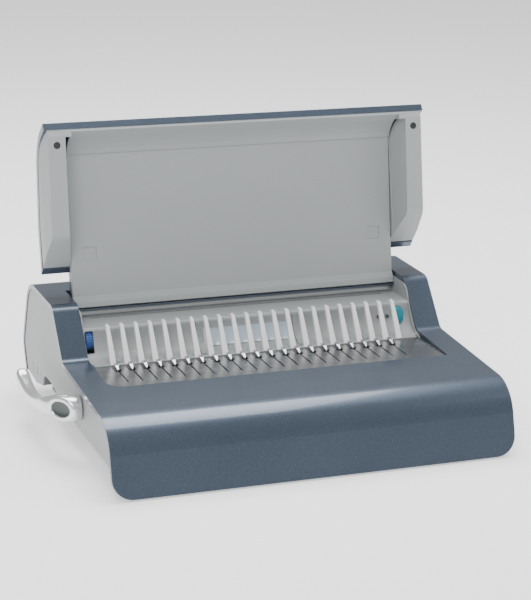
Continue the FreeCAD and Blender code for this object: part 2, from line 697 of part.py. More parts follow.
def gear_shape(teeth, width, bore, phase=0.0):
    """A spur gear about X with involute flanks, a bore, and backlash for a free mesh."""
    teeth = int(number(teeth))
    pitch_radius = GEAR_MODULE * teeth / 2
    base_radius = pitch_radius * math.cos(PRESSURE)
    tip_radius = pitch_radius + 0.9 * GEAR_MODULE
    root_radius = pitch_radius - 1.25 * GEAR_MODULE
    pitch_roll = math.tan(PRESSURE)
    tip_roll = math.sqrt((tip_radius / base_radius) ** 2 - 1)
    half_tooth = (math.pi * GEAR_MODULE / 2 - BACKLASH) / 2 / pitch_radius
    lean = half_tooth + pitch_roll - PRESSURE
    start_radius = max(base_radius, root_radius)
    start_roll = math.sqrt(max((start_radius / base_radius) ** 2 - 1, 0))
    edges = []
    points = []
    for tooth in range(teeth):
        middle = phase + 2 * math.pi * tooth / teeth
        rise = []
        for step in range(BEYOND_BASE + 1):
            roll = start_roll + (tip_roll - start_roll) * step / BEYOND_BASE
            rise.append(turned(involute(base_radius, roll), -lean))
        left = [turned(point, middle) for point in rise]
        right = [turned((point[0], -point[1]), middle) for point in reversed(rise)]
        foot_in = turned((root_radius, 0), middle - lean)
        foot_out = turned((root_radius, 0), middle + lean)
        points += [foot_in, *left, *right, foot_out]
    outline = [FreeCAD.Vector(0, y, z) for y, z in points]
    wire = Part.makePolygon(outline + outline[:1])
    solid = Part.Face(wire).extrude(FreeCAD.Vector(number(width), 0, 0))
    hole = Part.makeCylinder(number(bore), number(width) + 2, FreeCAD.Vector(-1, 0, 0), X_AXIS)
    return solid.cut(hole)


def gear(label, teeth, width, bore, centre, phase=0.0, place=frame_place, copies=(0.0,)):
    """A gear, or several equal gears at different x, as one sub-part."""
    blank = gear_shape(teeth, width, bore, phase)
    shapes = []
    for shift in copies:
        copy = blank.copy()
        copy.translate(FreeCAD.Vector(number(centre[0]) + shift, number(centre[1]), number(centre[2])))
        shapes.append(copy)
    wheel = doc.addObject("Part::Feature", "Gear")
    wheel.Shape = Part.makeCompound(shapes)
    return finish(wheel, label, place)


RACK_WIDTH = 6.0


def hook_racks():
    """Two toothed racks above the lever pinions, each joined down to the hook bar."""
    radius = GEAR_MODULE * number(S.pinion_teeth) / 2
    pitch_z = number(S.lever_z) + radius
    pitch = math.pi * GEAR_MODULE
    half = (pitch / 2 - BACKLASH) / 2
    slope = math.tan(PRESSURE)
    deep, reach = 0.9 * GEAR_MODULE, 1.25 * GEAR_MODULE
    back_z = pitch_z + reach + 1.7
    racks = []
    for side in BOTH:
        left = side * number(S.rack_x) - RACK_WIDTH / 2
        body = new_body("hook_rack")
        front_y = number(S.lever_y) - 2.5 * pitch - 0.6
        points = [(-34.0, back_z), (front_y, back_z), (front_y, pitch_z + reach)]
        tooth = number(S.lever_y) - 2 * pitch + pitch / 2
        while tooth < -48.0:
            points += [(tooth - half - slope * reach, pitch_z + reach),
                       (tooth - half + slope * deep, pitch_z - deep),
                       (tooth + half - slope * deep, pitch_z - deep),
                       (tooth + half + slope * reach, pitch_z + reach)]
            tooth += pitch
        points += [(-40.5, pitch_z + reach), (-40.5, S.carriage_top_z), (-34.0, S.carriage_top_z)]
        prism(body, "side", [points], left, left + RACK_WIDTH)
        racks.append(body)
    return group("hook_racks", racks)


def carriage_guides():
    """A ledge on each chassis plate that the hook bar slides along."""
    ledges = []
    for side in BOTH:
        low, high = (S.plate_x - 6, S.plate_x) if side > 0 else (-S.plate_x, 6 - S.plate_x)
        ledges.append(block((low, -68, 44), (high, -28, S.carriage_low_z - 0.3)))
    return group("carriage_guides", ledges)


# ---------------------------------------------------------------- lever

def lever_handle():
    """The silver lever: a round hub at the pivot and an arm that curves back to a grip."""
    body = new_body("lever_handle")
    centre = (S.lever_y, S.lever_z)
    discs(body, "side", [centre], S.hub_radius, -229, -199.6)
    arm = [(-84, 42.5), (-46, 36), (-8, 32.6), (28, 31.2), (50, 33), (60, 40), (58, 50), (46, 54.5),
           (36, 51.5), (22, 46), (2, 44.5), (-30, 49), (-56, 57), (-72, 64)]
    prism(body, "side", [arm], -231.2, -216)
    rounded(body, "side", arm[9:12], 25)
    rounded(body, "side", [arm[5], arm[6]], 6)
    rounded(body, "side", [arm[3], arm[4]], 12)
    prism(body, "top", [[(-240, -100), (-205.5, -100), *HUB_FACE, (-231.3, -20), (-240, -20)]],
          20, 80, cut=True)
    discs(body, "side", [centre], S.shaft_radius, -206, -190, cut=True)
    return finish(minus(body, [cap_disc(7.0)]), "lever_handle")


def lever_shaft():
    """The cross shaft from the lever to the far chassis plate."""
    return finish(cylinder(X_AXIS, (-206, S.lever_y, S.lever_z), S.shaft_radius, 364), "lever_shaft")


HUB_FACE = [(-207.74, -92.0), (-231.3, -63.27)]


def cap_disc(radius):
    """A disc sunk square into the slanted face of the lever's hub."""
    along = unit(HUB_FACE[0], HUB_FACE[1])
    inward = FreeCAD.Vector(along[1], -along[0], 0)
    share = (number(S.lever_y) - HUB_FACE[0][1]) / (HUB_FACE[1][1] - HUB_FACE[0][1])
    across = HUB_FACE[0][0] + (HUB_FACE[1][0] - HUB_FACE[0][0]) * share
    start = FreeCAD.Vector(across, number(S.lever_y), number(S.lever_z)) - inward * 0.2
    return cylinder(inward, tuple(start), radius, 2.6)


def lever_cap():
    """The dark round insert in the lever's outer face."""
    return finish(cap_disc(7.0), "lever_cap")


# ---------------------------------------------------------------- chassis and punch

def chassis_plate(side):
    """A steel side plate that carries the shafts."""
    label = "right_chassis_plate" if side > 0 else "left_chassis_plate"
    body = new_body(label)
    outline = [(-98, 6), (123, 6), (123, 96), (38, 96), (34, 66), (-98, 66)]
    outer = S.plate_x + S.plate_wall
    low, high = (S.plate_x, outer) if side > 0 else (-outer, -S.plate_x)
    prism(body, "side", [outline], low, high)
    if side > 0:
        prism(body, "side", [box_outline(-22, 5, 77, 26)], low - 1, high + 1, cut=True)
    discs(body, "side", [(S.lever_y, S.lever_z), (S.cam_y, S.cam_z)], 8, low - 1, high + 1, cut=True)
    if side > 0:
        discs(body, "side", [(IDLER[0], IDLER[1])], 3, low - 1, high + 1, cut=True)
        discs(body, "side", [(MOTOR[0], MOTOR[1])], 9, low - 1, high + 1, cut=True)
    return finish(body, label)


BULL_RADIUS = GEAR_MODULE * number(S.bull_teeth) / 2
IDLER_RADIUS = GEAR_MODULE * number(S.idler_teeth) / 2
MOTOR_RADIUS = GEAR_MODULE * number(S.motor_teeth) / 2
IDLER_DROP = math.sqrt((BULL_RADIUS + IDLER_RADIUS) ** 2 - (number(S.cam_y) - number(S.idler_y)) ** 2)
IDLER = (number(S.idler_y), number(S.cam_z) - IDLER_DROP)
MOTOR = (IDLER[0] - IDLER_RADIUS - MOTOR_RADIUS, IDLER[1])


def mesh_phase(teeth, from_centre, to_centre, other_teeth, other_phase):
    """The phase that puts a gear's gap opposite a tooth of the gear that it meshes with."""
    line = math.atan2(to_centre[1] - from_centre[1], to_centre[0] - from_centre[0])
    other_pitch = 2 * math.pi / other_teeth
    offset = ((line - other_phase) / other_pitch) % 1.0
    pitch = 2 * math.pi / teeth
    return line + math.pi + (0.5 + offset) * pitch


def shaft_bushes():
    """Plain bushes pressed in the chassis plates for the lever shaft and the cam shaft."""
    bushes = []
    for side in BOTH:
        for y, z in ((S.lever_y, S.lever_z), (S.cam_y, S.cam_z)):
            low = S.plate_x if side > 0 else -S.plate_x - S.plate_wall
            ring = minus(cylinder(X_AXIS, (low, y, z), 8, S.plate_wall),
                         [cylinder(X_AXIS, (low - 1, y, z), S.shaft_radius + 0.05, S.plate_wall + 2)])
            bushes.append(ring)
    return group("shaft_bushes", bushes)


def tie_rods():
    """Round bars that tie the two chassis plates together."""
    length = S.plate_x * 2
    places = ((-93.0, 14.0), (18.0, 58.0), (117.5, 12.0))
    rods = [cylinder(X_AXIS, (-S.plate_x, y, z), 4, length) for y, z in places]
    return group("tie_rods", rods)


def punched_plate(label, low_y, high_y):
    """A steel bar across the machine with a window for each punch pin."""
    body = new_body(label)
    prism(body, "front", [box_outline(-S.plate_x, 66, S.plate_x, 94)], low_y, high_y)
    windows = []
    for index in range(SLITS):
        x = finger_x(index) + S.finger_pitch / 2
        windows.append(box_outline(x - 4.05, S.punch_z - 1.6, x + 4.05, S.punch_z + 1.6))
    prism(body, "front", windows, low_y - 1, high_y + 1, cut=True)
    return finish(body, label)


def paper_stop():
    """The bar at the foot of the paper slot that sets the depth of the holes."""
    return finish(block((-S.plate_x, 41, 66), (S.plate_x, 45.6, 71)), "paper_stop")


def punch_pins():
    """Rectangular punches with their tips held in the guide plate."""
    pins = []
    for index in range(SLITS):
        x = finger_x(index) + S.finger_pitch / 2
        pins.append(block((x - 4.0, 46.2, S.punch_z - 1.55), (x + 4.0, 70, S.punch_z + 1.55)))
    return group("punch_pins", pins)


def punch_bar():
    """The bar that drives the pins, with a yoke round each eccentric."""
    body = new_body("punch_bar")
    centre = S.cam_y + S.cam_throw
    half = S.cam_radius + 1.15
    tall = S.cam_radius + S.cam_throw + 0.8
    prism(body, "side", [box_outline(70, S.punch_z - 8, 78, S.punch_z + 8)], -150, 150)
    for side in BOTH:
        low = S.cam_x - 3.5 if side > 0 else -S.cam_x - 3.5
        frame_outline = box_outline(77, S.cam_z - tall - 4, centre + half + 4, S.cam_z + tall + 2)
        prism(body, "side", [frame_outline], low, low + 7)
        window = box_outline(centre - half, S.cam_z - tall, centre + half, S.cam_z + tall)
        prism(body, "side", [window], low - 1, low + 8, cut=True)
    return finish(body, "punch_bar")


def cam_shaft():
    """The shaft that the bull gear and the cams turn on."""
    start = (-S.plate_x - 4, S.cam_y, S.cam_z)
    return finish(cylinder(X_AXIS, start, S.shaft_radius, S.plate_x * 2 + 17), "cam_shaft")


def cam_discs():
    """Two eccentrics on the cam shaft."""
    cams = []
    for side in BOTH:
        low = S.cam_x - 3 if side > 0 else -S.cam_x - 3
        disc = cylinder(X_AXIS, (low, S.cam_y + S.cam_throw, S.cam_z), S.cam_radius, 6)
        cams.append(minus(disc, [cylinder(X_AXIS, (low - 1, S.cam_y, S.cam_z), S.shaft_radius, 8)]))
    return group("cam_discs", cams)


def motor():
    """The drive motor on the right chassis plate."""
    can = cylinder(X_AXIS, (70, MOTOR[0], MOTOR[1]), 17, S.plate_x - 70)
    tail = cylinder(X_AXIS, (66, MOTOR[0], MOTOR[1]), 7, 5)
    nose = cylinder(X_AXIS, (S.plate_x - 1, MOTOR[0], MOTOR[1]), 9, S.plate_wall + 1)
    bore = cylinder(X_AXIS, (100, MOTOR[0], MOTOR[1]), 2.55, 70)
    return finish(minus(fused([can, tail, nose]), [bore]), "motor")


def motor_shaft():
    """The motor's shaft, out to its pinion."""
    start_x = 100.3
    reach = S.gear_x + S.gear_width - start_x
    return finish(cylinder(X_AXIS, (start_x, MOTOR[0], MOTOR[1]), 2.5, reach), "motor_shaft")


def idler_pin():
    """The fixed pin that the idler gear turns on."""
    reach = S.gear_x + S.gear_width + 1.5 - S.plate_x
    return finish(cylinder(X_AXIS, (S.plate_x, IDLER[0], IDLER[1]), 3, reach), "idler_pin")


def transformer():
    core = block((-140, 72, 6), (-84, 105, 50))
    coil = block((-134, 66, 12), (-90, 111, 44))
    return finish(fused([core, coil]), "transformer")


def control_board():
    """The circuit board with its relay, fuse and terminals."""
    base = block((-60, -92, 28), (40, -32, 29.6))
    parts = [block((-50, -82, 29.6), (-31, -66, 45)), block((-22, -84, 29.6), (-2, -78, 36)),
             block((10, -86, 29.6), (34, -76, 40)), cylinder(Z_AXIS, (-10, -52, 29.6), 6, 12),
             cylinder(Z_AXIS, (8, -52, 29.6), 4, 9)]
    posts = [cylinder(Z_AXIS, (x, y, 6), 3, 22) for x in (-56.0, 36.0) for y in (-84.0, -36.0)]
    return finish(fused([base] + parts + posts), "control_board")


# ---------------------------------------------------------------- small controls

def guide_wheel():
    """The ribbed thumbwheel, about X, with its bore."""
    body = new_body("guide_wheel")
    centre = (S.wheel_y, S.wheel_z)
    discs(body, "side", [centre], S.wheel_radius, S.wheel_x - 3.3, S.wheel_x + 3.3)
    ribs = 30
    notches = []
    for index in range(ribs):
        angle = 2 * math.pi * index / ribs
        reach = S.wheel_radius + 0.2
        where = (S.wheel_y + reach * math.cos(angle), S.wheel_z + reach * math.sin(angle))
        notches.append(where)
    discs(body, "side", notches, 0.7, S.wheel_x - 4, S.wheel_x + 4, cut=True)
    discs(body, "side", [centre], 2, S.wheel_x - 4, S.wheel_x + 4, cut=True)
    return finish(body, "guide_wheel")


def guide_screw():
    """The screw on the wheel that moves the edge guide."""
    screw = cylinder(X_AXIS, (S.wheel_x - 3.9, S.wheel_y, S.wheel_z), 2, 51)
    return finish(screw, "guide_screw")


def edge_guide():
    """The paper edge guide: a nut on the screw and a tongue that reaches across the slot."""
    body = new_body("edge_guide")
    discs(body, "side", [(S.wheel_y, S.wheel_z)], 5, -150, -136)
    tongue = [(16, 88), (28, 94.6), (50.5, 94.6), (50.5, 98), (26, 98), (16, 92.5)]
    prism(body, "side", [tongue], -145.5, -142.5)
    discs(body, "side", [(S.wheel_y, S.wheel_z)], 2.08, -151, -135, cut=True)
    return finish(body, "edge_guide")


def punch_button():
    """The teal push button with its stem."""
    body = new_body("punch_button")
    pill(body, "front", (S.button_x, S.button_z), 5.8, 8.8, 4.6, 15)
    discs(body, "front", [(S.button_x, S.button_z)], 2.5, 14.5, 24)
    return finish(body, "punch_button")


def lamp(label, x):
    bulb = cylinder(Y_AXIS, (x, 4.6, S.lamp_z), S.lamp_radius, 8)
    return finish(bulb, label)


def switch_board():
    """The small board behind the button, with the switch that the stem presses."""
    board = block((132, 32, 78), (166, 33.6, 97))
    switch = block((154.5, 26.8, 82), (163.5, 32, 93))
    return finish(fused([board, switch]), "switch_board")


def chip_drawer():
    """The tray that catches the paper chips and slides out of the right side."""
    body = new_body("chip_drawer")
    start = S.pan_half - S.drawer_length
    rear = S.drawer_y + S.drawer_depth
    prism(body, "top", [box_outline(start, S.drawer_y, S.pan_half + 2.6, rear)], 7.4, 24.4)
    well = box_outline(start + 2, S.drawer_y + 2, S.pan_half - 0.5, rear - 2)
    prism(body, "top", [well], 9.4, 26, cut=True)
    prism(body, "front", [box_outline(S.pan_half - 1, 10, S.pan_half + 4, 14)], 20, 40, cut=True)
    return finish(body, "chip_drawer")


def rear_panel():
    """The dark panel in the back for the mains inlet and the power switch."""
    body = new_body("rear_panel")
    prism(body, "front", [box_outline(-165.8, 31.2, -96.2, 58.8)], 139, 141.5)
    holes = [box_outline(-160.1, 33.9, -131.9, 56.1), box_outline(-118.1, 33.9, -102.9, 56.1)]
    prism(body, "front", holes, 138, 143, cut=True)
    return finish(body, "rear_panel")


def mains_inlet():
    """The mains socket in the rear panel, with its three contacts."""
    shell = block((-160, 124, 34), (-132, 143, 56))
    well = block((-156, 130, 38), (-136, 144, 52))
    pins = [block((x - 1, 130, z), (x + 1, 138, z + 4)) for x, z in ((-151, 41), (-146, 45), (-141, 41))]
    return finish(fused([minus(shell, [well])] + pins), "mains_inlet")


def switch_frame():
    frame = block((-118, 128, 34), (-103, 143, 56))
    well = block((-115.6, 131, 35.2), (-105.4, 144, 54.8))
    return finish(minus(frame, [well]), "switch_frame")


def power_rocker():
    """The rocker of the power switch, set to off."""
    body = new_body("power_rocker")
    outline = [(134, 40), (142.6, 37.2), (143.6, 38), (141.6, 45), (144.6, 51), (143.8, 52), (134, 50)]
    prism(body, "side", [outline], -115.2, -105.8)
    discs(body, "side", [(134, 45)], 1.6, -115.2, -105.8)
    return finish(body, "power_rocker")


# ---------------------------------------------------------------- lid, drawn closed

LID_OUTER = [(S.lid_tip_y, S.lid_tip_z), (S.lid_brow_y, S.lid_brow_z), (S.lid_top_y, S.lid_top_z),
             (S.lid_back_y, S.lid_back_z)]
SLANT_LOW = (-16.6, 76.9)
SLANT_RUN = (39.0, 45.5)
LID_BROW_RADIUS = 48.0


def lid_line(depth):
    return offset_line(LID_OUTER, depth)


def slant_at(z, inset=0.0):
    """The y of the lid's slanted rear edge at a height, moved forward by an inset."""
    return SLANT_LOW[0] + (z - SLANT_LOW[1]) * SLANT_RUN[0] / SLANT_RUN[1] - inset


def notch_outline(inset=0.0):
    """Everything behind the slanted rear edge of the wide part of the lid."""
    return [(slant_at(60.0, inset), 60.0), (slant_at(130.0, inset), 130.0), (80, 130.0), (80, 60.0)]


def lid_shell():
    """The outer skin of the lid, wide over the deck and narrow between the pillars."""
    body = new_body("lid_shell")
    rim = lid_line(number(S.lid_rim))
    skin = lid_line(number(S.lid_skin))
    below = lid_line(number(S.lid_rim) + 0.5)
    tail = [(60.5, 112.5), (58.8, 106.0), (57.2, 106.0), (57.4, 113.0)]
    outline = LID_OUTER + tail + [(50.0, rim[3][1] + 2)] + list(reversed(rim[:3]))
    prism(body, "side", [outline], -S.lid_half, S.lid_half)
    rounded(body, "side", [LID_OUTER[1]], LID_BROW_RADIUS)
    rounded(body, "side", [rim[1]], LID_BROW_RADIUS - number(S.lid_rim))
    rounded(body, "side", [LID_OUTER[3]], 6)
    for side in BOTH:
        low, high = (S.lid_neck_half, S.lid_half + 2) if side > 0 else (-S.lid_half - 2, -S.lid_neck_half)
        prism(body, "side", [notch_outline()], low, high, cut=True)
    tip_inset = 3.4
    start = (skin[0][0] + tip_inset * 0.47, skin[0][1] + tip_inset * 0.88)
    stop = (below[0][0] + tip_inset * 0.47, below[0][1] + tip_inset * 0.88)
    wide_end = slant_at(118.0, 4.5)
    top_point = crossing(skin[2], skin[3], wide_end)
    low_point = crossing(below[2], below[3], wide_end)
    high_bend = bent(skin[0], skin[1], skin[2], LID_BROW_RADIUS - number(S.lid_skin))
    low_bend = bent(below[2], below[1], below[0], LID_BROW_RADIUS - number(S.lid_rim) - 0.5)
    wide = [start, *high_bend, skin[2], top_point, low_point, below[2], *low_bend, stop]
    prism(body, "side", [wide], -S.lid_half + S.lid_skin, S.lid_half - S.lid_skin, cut=True)
    neck_end = 57.0
    neck = [crossing(skin[2], skin[3], wide_end - 1), crossing(skin[2], skin[3], neck_end),
            crossing(below[2], below[3], neck_end), crossing(below[2], below[3], wide_end - 1)]
    prism(body, "side", [neck], -S.lid_neck_half + S.lid_skin, S.lid_neck_half - S.lid_skin, cut=True)
    pin_holes(body)
    return finish(body, "lid_shell", lid_place)


def pin_holes(body):
    """Bores at both ends of the lid's hinge edge, a running fit on the hinge pins."""
    near, far = S.lid_neck_half - 13, S.lid_neck_half + 1
    for low, high in ((near, far), (-far, -near)):
        discs(body, "side", [(S.hinge_y, S.hinge_z)], S.pin_radius + 0.05, low, high, cut=True)


PANEL = [(45.5, 108.6), (-8.5, 106.5), (-97.0, 101.7), (-95.5, 103.4), (-8.5, 109), (45.5, 111.1)]
FRONT_WALL = 2.8


def lid_liner():
    """The grey inside of the lid: a flat panel, a front wall, and a deep column at each side."""
    body = new_body("lid_liner")
    under = lid_line(number(S.lid_rim) + 0.02)
    prism(body, "side", [PANEL], -S.lid_neck_half + 0.6, S.lid_neck_half - 0.6)
    hem = [(44.5, 108.5), (50.5, 106.2), (55.5, 106.2), (56.8, 109), (56.8, 112.8), (52, 113.4), (44.5, 111)]
    prism(body, "side", [hem], -S.lid_neck_half, S.lid_neck_half)
    pin_holes(body)
    front_low = (under[0][0] + 0.3, under[0][1] + 0.5)
    inside = lid_line(number(S.lid_rim) + FRONT_WALL)
    brow = bent(under[2], under[1], under[0], LID_BROW_RADIUS - number(S.lid_rim))
    inner_brow = bent(inside[2], inside[1], inside[0], LID_BROW_RADIUS - number(S.lid_rim) - FRONT_WALL)
    ledge = [front_low, *reversed(brow[2:]), *inner_brow[2:], (inside[0][0] + 0.3, inside[0][1] + 0.5)]
    prism(body, "side", [ledge], -182, 182)
    column = [front_low, (-114, 71.6), SLANT_LOW, (slant_at(113.0), 113.0), under[2], *brow]
    for side in BOTH:
        low, high = (171.6, 198.2) if side > 0 else (-198.2, -171.6)
        prism(body, "side", [column], low, high)
    rounded(body, "side", [SLANT_LOW], 13)
    rounded(body, "side", [(-114, 71.6)], 5)
    for side in BOTH:
        outer = [(side * 193.7, 60), (side * 204, 60), (side * 204, 100), (side * 198.3, 100)]
        inner = [(side * x, z) for x, z in ((178, 60), (171, 60), (171, 103), (172.4, 103), (178, 76))]
        prism(body, "front", [outer], -140, 40, cut=True)
        prism(body, "front", [inner], -113.0, 40, cut=True)
        hollow = offset_column()
        low, high = (181, 190) if side > 0 else (-190, -181)
        prism(body, "side", [hollow], low, high, cut=True)
    neck_side = [(-8, 107.5), (47, 109.2), (47, 112.0), (-8, 115.4)]
    for side in BOTH:
        low, high = (168.8, S.lid_neck_half) if side > 0 else (-S.lid_neck_half, -168.8)
        prism(body, "side", [neck_side], low, high)
    discs(body, "top", [(side * 186.6, S.bumper_y) for side in BOTH], 3.4, 68, S.bumper_z + 3, cut=True)
    pockets = [box_outline(-158, -4, -145, 9), box_outline(145, -4, 158, 9)]
    prism(body, "top", pockets, 104.5, 107.7, cut=True)
    return finish(body, "lid_liner", lid_place)


def offset_column():
    """The hollow inside a column, open towards the lid's shell."""
    return [(-108, 77), (-22, 81), (-2, 104.5), (-2, 125), (-60, 125), (-104, 112), (-108, 92)]


def lid_bumpers():
    """Rubber buttons near the ends of the columns that meet the deck."""
    pads = [cylinder(Z_AXIS, (side * 186.6, S.bumper_y, S.bumper_z), 3.4, 3) for side in BOTH]
    return group("lid_bumpers", pads, lid_place)


def hinge_pins():
    """Pins fixed in the pillar walls that the lid turns on."""
    pins = []
    for side in BOTH:
        low = S.lid_neck_half - 12 if side > 0 else -S.bay_half - S.skin - 1
        reach = S.bay_half + S.skin + 13 - S.lid_neck_half
        pins.append(cylinder(X_AXIS, (low, S.hinge_y, S.hinge_z), S.pin_radius, reach))
    return group("hinge_pins", pins)


# ---------------------------------------------------------------- assembly

def build():
    top_cover()
    rear_cover()
    for side in BOTH:
        cheek(side)
        chassis_plate(side)
    base_pan()
    rubber_feet()
    base_screws()
    comb_housing()
    wall_ribs()
    size_strip()
    comb_plate()
    comb_fingers()
    finger_rail()
    hook_blades()
    hook_bar()
    hook_racks()
    carriage_guides()
    lever_handle()
    lever_cap()
    lever_shaft()
    gear("lever_pinions", S.pinion_teeth, RACK_WIDTH, S.shaft_radius, (-RACK_WIDTH / 2, S.lever_y, S.lever_z),
         math.pi / 2, copies=[side * number(S.rack_x) for side in BOTH])
    shaft_bushes()
    tie_rods()
    punched_plate("die_plate", 34, 41)
    punched_plate("guide_plate", 45.6, 51.6)
    paper_stop()
    punch_pins()
    punch_bar()
    cam_shaft()
    cam_discs()
    cam_centre = (number(S.cam_y), number(S.cam_z))
    idler_phase = mesh_phase(30, cam_centre, IDLER, 48, 0.0)
    motor_phase = mesh_phase(12, IDLER, MOTOR, 30, idler_phase)
    gear("bull_gear", S.bull_teeth, S.gear_width, S.shaft_radius, (S.gear_x, S.cam_y, S.cam_z))
    gear("idler_gear", S.idler_teeth, S.gear_width, 3.05, (S.gear_x, *IDLER), idler_phase)
    gear("motor_pinion", S.motor_teeth, S.gear_width, 2.5, (S.gear_x, *MOTOR), motor_phase)
    motor()
    motor_shaft()
    idler_pin()
    transformer()
    control_board()
    guide_wheel()
    guide_screw()
    edge_guide()
    punch_button()
    switch_board()
    lamp("lamp_red", 137.7)
    lamp("lamp_green", 147.5)
    chip_drawer()
    rear_panel()
    mains_inlet()
    switch_frame()
    power_rocker()
    lid_shell()
    lid_liner()
    lid_bumpers()
    hinge_pins()


def taken_away(cut):
    """The volume that a pocket removes."""
    return cut.BaseFeature.Shape.Volume - cut.Shape.Volume


def check():
    """Stops if anything failed to build, or a pocket took nothing away."""
    doc.recompute()
    faults = [f"{thing.FullName} {thing.getParentGeoFeatureGroup()} {thing.State}" for thing in doc.Objects
              if "Invalid" in thing.State or "Error" in thing.State]
    faults += [f"{cut.Name} of {cut.getParentGeoFeatureGroup().Name} cuts nothing"
               for cut in CUTS if not faults and taken_away(cut) < 0.01]
    for node in NODES:
        if node.Shape.isNull() or not node.Shape.isValid() or not node.Shape.Solids:
            faults.append(f"{node.Label} has no valid shape")
    if faults:
        raise RuntimeError("; ".join(faults))


build()
check()
os.makedirs("parts", exist_ok=True)
for node in NODES:
    node.Shape.exportStep(os.path.join("parts", node.Label + ".step"))
everything = Part.makeCompound([node.Shape for node in NODES])
box = everything.BoundBox
print(f"{len(NODES)} sub-parts, box {box.XMin:.1f} {box.YMin:.1f} {box.ZMin:.1f} to "
      f"{box.XMax:.1f} {box.YMax:.1f} {box.ZMax:.1f}")
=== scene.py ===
"""Finishes, fine pieces, studio and camera for the comb binding machine."""

import json
import logging
import math
from dataclasses import dataclass, field
from enum import Enum

import bpy
from mathutils import Matrix, Vector


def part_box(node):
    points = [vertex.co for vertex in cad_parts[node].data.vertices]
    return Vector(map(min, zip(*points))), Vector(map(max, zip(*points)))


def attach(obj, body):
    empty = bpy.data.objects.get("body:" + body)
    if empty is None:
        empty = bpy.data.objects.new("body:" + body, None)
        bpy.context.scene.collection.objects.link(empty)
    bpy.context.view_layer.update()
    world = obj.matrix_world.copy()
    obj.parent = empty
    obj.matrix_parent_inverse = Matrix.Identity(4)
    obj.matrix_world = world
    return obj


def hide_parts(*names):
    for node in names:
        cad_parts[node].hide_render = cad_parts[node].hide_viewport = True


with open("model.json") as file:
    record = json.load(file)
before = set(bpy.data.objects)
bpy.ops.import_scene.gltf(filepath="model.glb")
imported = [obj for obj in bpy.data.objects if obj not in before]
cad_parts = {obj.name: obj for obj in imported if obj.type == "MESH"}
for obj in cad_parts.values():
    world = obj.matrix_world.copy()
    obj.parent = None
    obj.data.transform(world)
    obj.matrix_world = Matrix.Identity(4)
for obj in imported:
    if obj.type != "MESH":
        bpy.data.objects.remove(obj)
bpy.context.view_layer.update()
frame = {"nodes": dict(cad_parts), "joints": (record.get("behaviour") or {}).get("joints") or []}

log = logging.getLogger("binder")

Point = tuple[float, float, float]
Colour = tuple[float, float, float]
Ring = list[Point]

MM = 0.001
CASING_MIDDLE_X = 0.0161


class Body(str, Enum):
    """The moving bodies that fine pieces ride on."""

    MACHINE = "machine"
    LID = "lid"
    LEVER = "lever"
    ROCKER = "rocker"


class Grain(Enum):
    """The way that brushing or drawing runs over a metal, as stretch factors of its pattern."""

    ALONG_X = (0.012, 1.0, 1.0)
    ALONG_Y = (1.0, 0.012, 1.0)
    ALL_ROUND = (1.0, 1.0, 1.0)


class Axis(Enum):
    """The three components of a place on the machine."""

    X = 0
    Y = 1
    Z = 2


# ---------------------------------------------------------------- shader maths


class Signal:
    """One shader socket that takes part in ordinary arithmetic."""

    def __init__(self, recipe: "Recipe", socket: bpy.types.NodeSocket) -> None:
        """Wrap a socket of a recipe's node tree."""
        self.recipe = recipe
        self.socket = socket

    def _math(self, operation: str, first: "Input", second: "Input" = 0.0) -> "Signal":
        """Add one Math node.

        Args:
            operation: The Math node's operation.
            first: Its first value.
            second: Its second value.

        Returns:
            The result.
        """
        return self.recipe.node("ShaderNodeMath", {"operation": operation}, {0: first, 1: second})

    def __add__(self, other: "Input") -> "Signal":
        """Sum."""
        return self._math("ADD", self, other)

    __radd__ = __add__

    def __sub__(self, other: "Input") -> "Signal":
        """Difference."""
        return self._math("SUBTRACT", self, other)

    def __rsub__(self, other: "Input") -> "Signal":
        """Difference from a plain number."""
        return self._math("SUBTRACT", other, self)

    def __mul__(self, other: "Input") -> "Signal":
        """Product."""
        return self._math("MULTIPLY", self, other)

    __rmul__ = __mul__

    def __truediv__(self, other: "Input") -> "Signal":
        """Quotient."""
        return self._math("DIVIDE", self, other)

    def __gt__(self, other: "Input") -> "Signal":
        """One where this is more than the other, and zero elsewhere."""
        return self._math("GREATER_THAN", self, other)

    def __lt__(self, other: "Input") -> "Signal":
        """One where this is less than the other, and zero elsewhere."""
        return self._math("LESS_THAN", self, other)

    def __mod__(self, other: "Input") -> "Signal":
        """Remainder, never negative."""
        return self._math("FLOORED_MODULO", self, other)

    def between(self, low: float, high: float) -> "Signal":
        """Rescale so that low gives zero and high gives one, held to that span.

        Args:
            low: The value that becomes zero.
            high: The value that becomes one.

        Returns:
            The rescaled signal.
        """
        span = {0: self, 1: low, 2: high, 3: 0.0, 4: 1.0}
        return self.recipe.node("ShaderNodeMapRange", {"clamp": True}, span)


Input = Signal | float | Point | tuple[float, float, float, float]


